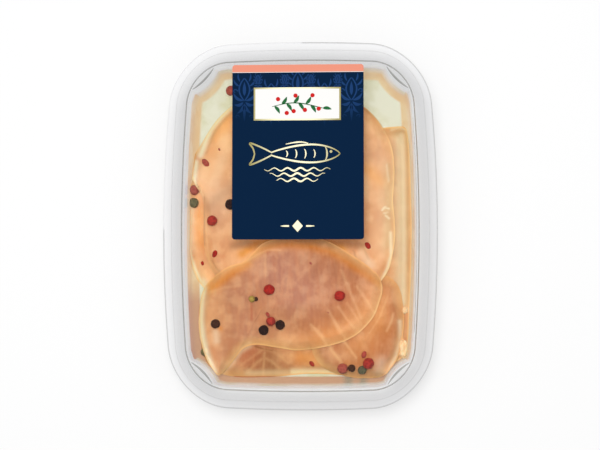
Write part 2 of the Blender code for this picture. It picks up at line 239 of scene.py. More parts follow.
# %% Rows of places, and smooth values between measured ones
def pairs(*parts):
    """Rows of coordinates. A single number counts for every row."""
    return np.column_stack(np.broadcast_arrays(*parts))


def arc(across, up, angles):
    """Points of an ellipse of two radii round the origin."""
    return pairs(across * np.cos(angles), up * np.sin(angles))


def eased(share):
    """0 below 0, 1 above 1, and a soft slope between them."""
    share = np.clip(share, 0, 1)
    return share * share * (3 - 2 * share)


def between(knots, values, wanted):
    """Values at the wanted places, on a smooth curve through the knots."""
    knots, values = np.asarray(knots, float), np.asarray(values, float)
    slopes = np.gradient(values, knots, axis=0)
    left = np.clip(np.searchsorted(knots, wanted, side="right") - 1, 0, len(knots) - 2)
    span = knots[left + 1] - knots[left]
    shape = (-1,) + (1,) * (values.ndim - 1)
    t, span = ((wanted - knots[left]) / span).reshape(shape), span.reshape(shape)
    start = values[left] * (2 * t**3 - 3 * t**2 + 1) + slopes[left] * span * (t**3 - 2 * t**2 + t)
    return start + values[left + 1] * (3 * t**2 - 2 * t**3) + slopes[left + 1] * span * (t**3 - t**2)


print("halfway from 0 by 1 to 4:", between((0, 1, 2), (0, 1, 4), np.array([1.5])))

# %% A gentle unevenness
RIPPLE_WAVES, RIPPLE_SWELL = 7, 1.6


def ripple(places, size, seed):
    """A gentle, repeatable unevenness from -1 to 1 over (x, y), with swells of about the given size."""
    chance = np.random.default_rng(seed)
    total = np.zeros(places.shape[:-1])
    for _ in range(RIPPLE_WAVES):
        angle, shift = chance.uniform(0, 2 * math.pi, 2)
        length = size * chance.uniform(0.7, 1.6)
        total += np.sin(2 * math.pi * (places @ (math.cos(angle), math.sin(angle))) / length + shift)
    return total / RIPPLE_WAVES * RIPPLE_SWELL


# %% [markdown]
# ## The tray
#
# The tray is one sheet of clear plastic, drawn down over a mould: a flat floor, a round bend, walls that
# lean out a little, a shoulder, a small ledge in each corner, and a wide rim that rolls down at its
# edge. A solid with its inside cut out would do, but a loft says it best: the same outline of the mouth,
# moved in or out and up or down, ring after ring, along the inside and back along the outside. The shell
# is closed and half a millimetre thick, so light bends through it as through the real sheet.

# %% The tray's measures, the same as those of its solid
RIM_LENGTH, RIM_WIDTH, RIM_BAND, SEAL_BAND = 160 * MM, 119.3 * MM, 8.3 * MM, 4.6 * MM
TRAY_HEIGHT, WALL, CORNER_RADIUS = 20.5 * MM, 0.5 * MM, 17.5 * MM
SIDE_BOW, END_BOW = 0.066, 0.022
SHOULDER, SHOULDER_DEPTH, DRAFT, BASE_RADIUS = 1.0 * MM, 1.9 * MM, math.radians(5.5), 3.5 * MM
LEDGE_HALF_ANGLE = math.radians(24)
SIDE_STEPS, ARC_STEPS, LEDGE_STEPS, END_STEPS, BEND_STEPS = 16, 8, 28, 20, 12
MOUTH = np.array((RIM_WIDTH / 2 - RIM_BAND, RIM_LENGTH / 2 - RIM_BAND))
CORNER_CENTRE = MOUTH - CORNER_RADIUS
DIAGONAL = np.array(((1, 1), (-1, 1))) / math.sqrt(2)


# %% The outline of the mouth, with its round and its hollow corners
def corner_arc(offset, notch):
    """One corner as (along the diagonal, across it). notch 0 is round, 1 follows the ledge's hollow arc."""
    round_radius, hollow_radius = CORNER_RADIUS + offset, CORNER_RADIUS - offset
    apart = 2 * CORNER_RADIUS * math.cos(LEDGE_HALF_ANGLE)
    meet_along = (apart**2 + round_radius**2 - hollow_radius**2) / (2 * apart)
    meet_across = math.sqrt(round_radius**2 - meet_along**2)
    round_half = math.atan2(meet_across, meet_along)
    share = np.linspace(-1, 1, LEDGE_STEPS + 1)
    outer = arc(round_radius, round_radius, share * round_half)
    inner = arc(-hollow_radius, hollow_radius, share * math.asin(meet_across / hollow_radius)) + (apart, 0)
    side = np.linspace(-math.pi / 4, -round_half, ARC_STEPS, endpoint=False)
    before = arc(round_radius, round_radius, side)
    return np.concatenate([before, outer * (1 - notch) + inner * notch, before[::-1] * (1, -1)])


def tray_outline(offset, notch=0.0):
    """The mouth's outline moved outwards by offset, as rows of (x, y)."""
    half_x, half_y = MOUTH + offset
    side = CORNER_CENTRE[1] * np.arange(SIDE_STEPS) / SIDE_STEPS
    end = CORNER_CENTRE[0] * (1 - np.arange(1, END_STEPS + 1) / END_STEPS)
    corner = CORNER_CENTRE + corner_arc(offset, notch) @ DIAGONAL
    quarter = np.concatenate([pairs(half_x, side), corner, pairs(end, half_y)])
    half = np.concatenate([quarter, quarter[-2::-1] * (-1, 1)])
    whole = np.concatenate([half, half[-2:0:-1] * (1, -1)])
    return whole * (1 - (SIDE_BOW, END_BOW) * (whole / MOUTH)[:, ::-1] ** 2)


MOUTH_LINE = tray_outline(0)
AROUND_TRAY = len(MOUTH_LINE)
print("points in an outline:", AROUND_TRAY)


# %% A loft through rings of points
def bands(rings, count):
    """The faces between each of the rings of count points and the next."""
    here = np.arange(count)
    after = (here + 1) % count
    first = np.stack([here, after, count + after, count + here], axis=1)
    return (first + count * np.arange(rings - 1)[:, None, None]).reshape(-1, 4).tolist()


def loft(rings):
    """Points and faces of a closed shell through rings, with a flat cap on the first and the last."""
    count, last = len(rings[0]), sum(map(len, rings[:-1]))
    caps = [list(range(count))[::-1], list(range(last, last + count))]
    return np.concatenate(rings), bands(len(rings), count) + caps


def ring(outline, height):
    """An outline at one height, or at a height for each of its points."""
    return pairs(*outline.T, height)


# %% The parts of the tray's profile
WALL_FOOT = WALL + BASE_RADIUS * (1 - math.sin(DRAFT))
WALL_LEAN = (TRAY_HEIGHT - SHOULDER_DEPTH - WALL_FOOT) * math.tan(DRAFT)
BEND_CENTRE = (-SHOULDER - WALL_LEAN - BASE_RADIUS * math.cos(DRAFT), WALL + BASE_RADIUS)


def base_bend(radius):
    """The bend between floor and wall, as rows of (offset, height) from the floor up to the wall."""
    return arc(radius, radius, np.linspace(-math.pi / 2, -DRAFT, BEND_STEPS + 1)) + BEND_CENTRE


def wall_at(height, foot):
    """The offset of the wall's inside at a height, where foot is the top of the bend."""
    share = (height - foot[1]) / (TRAY_HEIGHT - SHOULDER_DEPTH - foot[1])
    return foot[0] * (1 - share) - SHOULDER * share


def profile(keys, steps, notch):
    """Steps along a smooth curve through keys of (offset, depth below the rim), in millimetres."""
    places = between(np.arange(len(keys)), keys, np.linspace(0, len(keys) - 1, steps))
    return [(offset * MM, TRAY_HEIGHT - depth * MM, notch) for offset, depth in places]


print("lean of the wall in mm:", round(WALL_LEAN / MM, 2))

# %% The whole profile, from the floor up to the rim's edge and back underneath
OIL_LEVEL, OIL_CREEP, LEDGE_RINGS, LEDGE_CREASE = 12.2 * MM, 0.4 * MM, 8, 0.16
WET_TO = OIL_LEVEL + OIL_CREEP
inside = [(*place, 1) for place in base_bend(BASE_RADIUS)]
WET_RINGS = len(inside) + 1
inside += [(wall_at(height, inside[-1]), height, 1) for height in (WET_TO, WET_TO + 2 * MM)]
inside += profile([(-1, 1.9), (-0.85, 1.33), (-0.45, 0.855), (-0.15, 0.6)], 9, 1)
for share in np.arange(1, LEDGE_RINGS) / LEDGE_RINGS:
    crease = LEDGE_CREASE * (1 - abs(2 * share - 1)) ** 2
    depth = 0.6 - 0.1 * share - crease
    inside.append(((0.05 * share - 0.15) * MM, TRAY_HEIGHT - depth * MM, 1 - share))
inside += profile([(-0.1, 0.5), (-0.06, 0.22), (0.04, 0.05), (0.3, 0)], 7, 0)
inside += profile([(0.55, 0), (2, 0), (4.3, 0)], 3, 0)
inside += profile([(4.6, 0), (4.75, 0.2), (6.2, 0.36), (7.4, 0.52)], 8, 0)
inside += profile([(7.95, 0.7), (8.2, 0.86), (8.3, 1.05), (8.3, 1.6), (8.3, 2.2)], 9, 0)
outside = profile([(7.8, 2.2), (7.8, 1.5)], 2, 0)
outside += profile([(7.6, 1.32), (4.6, 0.7), (0.5, 0.5), (0.4, 1.1)], 10, 0)
outside += profile([(0.35, 1.2), (0, 1.45), (-0.5, 2)], 6, 1)
outside += [(*place, 1) for place in base_bend(BASE_RADIUS + WALL)[::-1]]
shell = inside + outside
print("rings in the shell:", len(shell))


# %% The tray's finishes
def with_bend_shade(finish):
    """The rim's tint, with painted shade along the lines where the sheet bends and at its edges."""
    return finish.mix(finish.painted("bend_shade"), colour(254, 254, 255), colour(140, 140, 136))


def painted_reflection_tint(clear, patch):
    """The tint of a wall, with a painted reflection of the fish beside it as a warm and cloudy band."""
    def tint(finish):
        shade = finish.painted("shade")
        drift = finish.step(finish.cloud(90), 0.35, 0.65)
        warm = finish.mix(drift, colour(255, 208, 156), colour(246, 178, 122))
        # The painted reflection darkens where shade is painted, and turns dark where a corn is mirrored.
        warm = finish.mix(shade, warm, colour(196, 120, 88))
        warm = finish.mix(finish.step(shade, 1.0, 2.0), warm, colour(132, 104, 86))
        bare = finish.mix(finish.step(finish.cloud(60), 0.4, 0.62), clear, patch)
        return finish.mix(finish.painted("painted_reflection"), bare, warm)
    return tint


RIM, DRY, WET, EDGE = range(4)
dry_tint = painted_reflection_tint(colour(247, 248, 252), colour(244, 246, 252))
wet_tint = painted_reflection_tint(colour(255, 255, 249), colour(231, 226, 184))
tray_finishes = [
    clear_finish("clear_plastic_rim", with_bend_shade, colour(181, 182, 183), 0.02, 1.07, 0.35, (40, 0.006 * MM)),
    clear_finish("clear_plastic_wall", dry_tint, colour(251, 252, 252), 0.0, 1.02, 0.3),
    clear_finish("clear_plastic_under_oil", wet_tint, WHITE, 0.0, 1.02),
    clear_finish("clear_plastic_edge", with_bend_shade, colour(205, 206, 207), 0.02, 1.07, 0.12),
]


def band_finish(number):
    """Which finish the tray takes between a ring and the next."""
    if shell[number][0] > SEAL_BAND + 0.1 * MM:
        return EDGE
    if number < WET_RINGS - 1:
        return WET
    return DRY if max(shell[number][1], shell[number + 1][1]) < TRAY_HEIGHT - SHOULDER_DEPTH else RIM


# %% Where things are round the tray, in millimetres from its middle
across, along = MOUTH_LINE.T / MM
FAR_LEFT, AT_SIDE, AT_END = (across < 0) & (along > 12), np.abs(along) < 56, np.abs(along) > 60
ON_LEDGE = np.hypot(*(MOUTH_LINE - tray_outline(0, 1)).T) > 0.5 * MM
# Painted shade at the rim's outer edge, deeper on the right side and at the near end.
EDGE_SHADE = np.where((across > 0) | (along < 0), 0.45, 0.05)
# The x and the width of each corn that the near wall mirrors
MIRRORED_CORNS = ((20.6, 2.4), (27.0, 1.9))


def nearer(start, width):
    """0 beyond start and 1 from a width nearer on, along the tray."""
    return np.clip((start - along) / width, 0, 1)


# The painted reflection is darker at the near end, on the left towards the near end, and where it mirrors a
# corn.
mirrored = sum(np.exp(-(((across - x) / width) ** 2)) for x, width in MIRRORED_CORNS) * (along < -60)
shade = np.tile(np.maximum(nearer(-58, 6), nearer(-24, 8) * (across < 0)) + mirrored, len(shell))
print("darkest shade of the stain:", round(shade.max(), 2))

# %% Painted shade lines where the tray bends and at its edges, and the painted reflection along the oil
bend_shade, painted_reflection = np.zeros((2, len(shell), AROUND_TRAY))
for number, (offset, height, _) in enumerate(inside):
    out, depth, dry = offset / MM, (TRAY_HEIGHT - height) / MM, (height - WET_TO) / MM
    # Painted shade lines: at the mouth, at the film's edge, along the ledge's hollow arc and at the outer
    # edge.
    if depth < 0.45 and -0.09 < out < 0.4:
        bend_shade[number] = 1.0
    elif depth < 0.45 and 4.5 < out < 4.75:
        bend_shade[number] = 0.3
    elif abs(depth - 0.6) < 0.07:
        bend_shade[number] = ON_LEDGE
    elif out > 7.8:
        bend_shade[number] = EDGE_SHADE
    # The painted reflection of the fish covers the wet wall, and a little of the dry wall on the left.
    if dry < 0.1:
        painted_reflection[number] = np.where(FAR_LEFT, np.clip((number - 1.5) / 2.5, 0, 1), min(1.0, number / 2))
    if height > OIL_LEVEL:
        painted_reflection[number, AT_END] *= 0.3
    if 0 < dry < 2.1:
        painted_reflection[number] = np.maximum(painted_reflection[number], 0.7 * (across < 0) * AT_SIDE)

# %% The tray's piece
tray_points, tray_faces = loft([ring(tray_outline(offset, notch), height) for offset, height, notch in shell])
tray_marks = {"bend_shade": bend_shade, "painted_reflection": painted_reflection, "shade": shade}
tray = add_piece(
    "tray_shell", tray_points, tray_faces, tray_finishes, "clear_tray", "tray", marks=tray_marks, sharp=35
)
kinds = np.repeat([band_finish(number) for number in range(len(shell) - 1)], AROUND_TRAY)
tray.data.polygons.foreach_set("material_index", [*kinds.tolist(), WET, DRY])

# %% [markdown]
# ## The film
#
# The film is drawn tight over the mouth and welded to the rim, so it is almost flat and rises a little
# in the middle. It could be a closed body, but a film is far too thin to bend what lies below, and each
# surface more costs light. So it is a single sheet with a faint unevenness, which breaks its gleam as
# packing film does, and its finish only mixes a clear pass with a little gloss.

# %% How high the film lies
FILM_EDGE, FILM_CROWN, FILM_UNEVEN = 20.56 * MM, 0.66 * MM, 0.035 * MM
FILM_SWELL, FILM_SLOPE = 26 * MM, 0.07


def film_ring(share):
    """The film at a share of the way from its middle to its edge."""
    outline = tray_outline(SEAL_BAND) * share
    rise = eased((1 - share) / FILM_SLOPE)
    return ring(outline, FILM_EDGE + rise * (FILM_CROWN + FILM_UNEVEN * ripple(outline, FILM_SWELL, 5)))


print("film's middle in mm:", round((FILM_EDGE + FILM_CROWN) / MM, 2))


# %% The film's finish, and its piece
film_finish = Finish("clear_film")
gleam = film_finish.node("Fresnel", {}, {"IOR": 1.4})
gloss = film_finish.node("BsdfPrincipled", {}, {
    "Base Color": colour(240, 242, 245), "Roughness": 0.12, "IOR": 1.5,
    "Normal": film_finish.relief(film_finish.cloud(35, 2.0), 0.25 * MM),
})
clear = film_finish.node("BsdfTransparent", {}, {"Color": colour(252, 252, 252)})
film_finish.done(film_finish.node("MixShader", {}, {0: gleam * 0.3, 1: clear, 2: gloss}))
film_shares = np.concatenate([np.linspace(0.04, 0.9, 26), np.linspace(0.915, 1, 12)])
film_points, film_faces = loft([film_ring(share) for share in film_shares])
add_piece("sealing_film", film_points, film_faces[:-1], [film_finish], "clear_film", "film", sharp=50)

# %% [markdown]
# ## How the slices drape
#
# Each slice was laid on the ones before it, so it hangs over their edges. Cloth simulation could settle
# them, but would give another fold for each change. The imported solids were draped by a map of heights
# instead, and the same steps are repeated here: a coarse sheet of rings round a pole is lifted until it
# clears what lies below. The result is then read between its points as a smooth surface, so that the
# fine slice lies where its solid is.

# %% A map of what lies in the tray
GRID = 0.5 * MM
MAP_CORNER = np.array((-RIM_WIDTH / 2, -RIM_LENGTH / 2))
MAP_ACROSS = MAP_CORNER[0] + GRID * np.arange(int(RIM_WIDTH / GRID) + 1)
MAP_UP = MAP_CORNER[1] + GRID * np.arange(int(RIM_LENGTH / GRID) + 1)
print("map:", len(MAP_ACROSS), "by", len(MAP_UP), "points")


class Ground:
    """The height of what already lies in the tray, over a square grid."""

    def __init__(self):
        self.heights = np.zeros((len(MAP_UP), len(MAP_ACROSS)))

    def raise_to(self, heights):
        """Lifts the map wherever these heights are above it."""
        self.heights = np.maximum(self.heights, heights)

    def cover(self, obj, spread):
        """Lays an object on the map, widened by a number of grid cells."""
        corners = [vertex.co for vertex in obj.data.vertices]
        tree = BVHTree.FromPolygons(corners, [tuple(face.vertices) for face in obj.data.polygons])
        low = ((np.min(corners, axis=0)[:2] - MAP_CORNER) / GRID).astype(int)
        high = ((np.max(corners, axis=0)[:2] - MAP_CORNER) / GRID).astype(int) + 2
        found = np.zeros_like(self.heights)
        for row in range(max(0, low[1]), min(len(MAP_UP), high[1])):
            for column in range(max(0, low[0]), min(len(MAP_ACROSS), high[0])):
                start = Vector((MAP_ACROSS[column], MAP_UP[row], 2 * TRAY_HEIGHT))
                hit = tree.ray_cast(start, Vector((0, 0, -1)))[0]
                if hit is not None:
                    found[row, column] = hit.z
        for up in range(-spread, spread + 1):
            for across in range(-spread, spread + 1):
                if up * up + across * across <= spread * spread + 1:
                    self.raise_to(np.roll(found, (up, across), (0, 1)))

    def at(self, places):
        """Heights at an array of (x, y), read between the grid's points."""
        last = (len(MAP_ACROSS) - 1.001, len(MAP_UP) - 1.001)
        cells = np.clip((places - MAP_CORNER) / GRID, 0, last)
        column, row = np.moveaxis(cells.astype(int), -1, 0)
        right, top = np.moveaxis(cells % 1, -1, 0)
        low = self.heights[row, column] * (1 - right) + self.heights[row, column + 1] * right
        high = self.heights[row + 1, column] * (1 - right) + self.heights[row + 1, column + 1] * right
        return low * (1 - top) + high * top


# %% The outline of a slice
SLICE_POINTS, CURVE_STEPS = 40, 12


def smooth_outline(corners):
    """Equally spaced points on a closed curve through the corners."""
    before, start, end, after = (np.roll(corners, -k, axis=0)[:, None] * MM for k in (-1, 0, 1, 2))
    t = np.linspace(0, 1, CURVE_STEPS, endpoint=False)[:, None]
    bend = 2 * before - 5 * start + 4 * end - after
    twist = -before + 3 * start - 3 * end + after
    fine = (0.5 * (2 * start + (end - before) * t + bend * t**2 + twist * t**3)).reshape(-1, 2)
    fine = np.concatenate([fine, fine[:1]])
    walked = np.concatenate([[0], np.cumsum(np.hypot(*np.diff(fine, axis=0).T))])
    wanted = np.linspace(0, walked[-1], SLICE_POINTS, endpoint=False)
    return pairs(*(np.interp(wanted, walked, axis) for axis in fine.T))


# %% How a sheet comes to lie on what is below it
SLICE_GAP, SMOOTH_ROUNDS, SETTLE_ROUNDS, STIFFNESS, SAMPLES_A_SIDE = 0.35 * MM, 12, 30, 0.5, 6


def drape(places, triangles, ground):
    """Heights at which these flat triangles lie on the ground, just clear of it all over."""
    side = range(SAMPLES_A_SIDE + 1)
    shares = np.array([(i, j, SAMPLES_A_SIDE - i - j) for i in side for j in side if i + j <= SAMPLES_A_SIDE])
    shares = shares / SAMPLES_A_SIDE
    needed = ground.at(np.einsum("sk,tkd->tsd", shares, places[triangles])) + SLICE_GAP
    weights = shares / (shares**2).sum(axis=1, keepdims=True)
    heights = ground.at(places) + SLICE_GAP
    neighbours = np.zeros(len(places))
    np.add.at(neighbours, triangles, 1)
    for turn in range(SMOOTH_ROUNDS + SETTLE_ROUNDS):
        if turn < SMOOTH_ROUNDS:
            around = np.zeros(len(places))
            np.add.at(around, triangles, heights[np.roll(triangles, 1, axis=1)])
            heights = heights * (1 - STIFFNESS) + around / neighbours * STIFFNESS
        lack = np.maximum(needed - np.einsum("sk,tk->ts", shares, heights[triangles]), 0)
        raised = np.zeros_like(heights)
        np.maximum.at(raised, triangles, (lack[:, :, None] * weights[None]).max(axis=1))
        heights = heights + raised
    return heights


# %% The edge drawn in from the wall, and the coarse sheet
RING_SHARES = (0.22, 0.42, 0.6, 0.77, 0.91, 1.0)
HIGHEST_EDGE, MOST_DRAWN_IN, DRAW_STEPS = 9.6 * MM, 0.75, 51
print("points in a coarse sheet:", 1 + len(RING_SHARES) * SLICE_POINTS)


def from_pole(middle, edge, shares):
    """The edge drawn towards the pole, each point by its own share."""
    return middle + shares[:, None] * (edge - middle)


def drawn_in(middle, edge, ground, highest, lowest_share, steps, rounds):
    """The edge, drawn towards the pole wherever the ground there stands higher than it may."""
    shares = np.ones(len(edge))
    for share in np.linspace(1, lowest_share, steps):
        shares = np.where(ground.at(from_pole(middle, edge, shares)) > highest, share, shares)
    for _ in range(rounds):
        shares = np.minimum(shares, (np.roll(shares, 1) + shares + np.roll(shares, -1)) / 3)
    return from_pole(middle, edge, shares)


def coarse_drape(pole, corners, ground):
    """The outline of a slice and the heights of its underside, one row for each ring from the pole."""
    middle = np.array(pole) * MM
    edge = drawn_in(middle, smooth_outline(corners), ground, HIGHEST_EDGE, MOST_DRAWN_IN, DRAW_STEPS, 1)
    places = np.concatenate([[middle]] + [middle + share * (edge - middle) for share in RING_SHARES])
    here = 1 + np.arange(SLICE_POINTS)
    after = np.roll(here, -1)
    sheet = [np.stack([0 * here, here, after], axis=1)]
    for near in SLICE_POINTS * np.arange(len(RING_SHARES) - 1):
        far = near + SLICE_POINTS
        sheet += [np.stack([near + here, far + here, far + after], axis=1)]
        sheet += [np.stack([near + here, far + after, near + after], axis=1)]
    under = drape(places, np.concatenate(sheet), ground)
    rows = under[1:].reshape(len(RING_SHARES), SLICE_POINTS)
    return middle, edge, np.concatenate([np.full((1, SLICE_POINTS), under[0]), rows])


# %% [markdown]
# ## The slices
#
# A slice of cured salmon is thin, moist and a little see-through. Its flesh runs from pink in the middle
# to orange and gold at its fatty edge, pale lines of fat cross it in nested bows, and a cut edge catches
# the light as a fine cream line. All this could be drawn by nodes alone, but the marks follow the real
# slice, not a formula. So soft strokes are laid on the fine mesh: a stroke is a path in millimetres, a
# width and a strength, and it is kept at each point as a value that the finish reads.

# %% What a stroke leaves on a slice
# deep turns the flesh from pale to deep salmon, and olive, gold, rosy and red give its other colours.
# cream marks pale fat and also painted highlights; brown marks dark flesh and also painted shade.
# seam is a pale line of fat, sunk a little. flush keeps an edge free of its painted cut highlight.
MARKS = ("deep", "gold", "cream_and_highlight", "rosy", "brown_and_shade", "seam", "red", "olive", "flush")


def stroke(places, path, width):
    """How strongly each place is touched by a soft stroke along a path, 1 on it and fading off."""
    path = np.atleast_2d(np.array(path, float))
    nearest = np.hypot(*(places - path[0]).T)
    for start, end in zip(path, path[1:]):
        along = end - start
        share = np.clip(((places - start) @ along) / (along @ along), 0, 1)
        nearest = np.minimum(nearest, np.hypot(*(places - start - share[:, None] * along).T))
    return np.exp(-((nearest / width) ** 2))


print("a stroke at one width:", round(float(stroke(np.array([[1.0, 0.0]]), (0, 0), 1)[0]), 2))

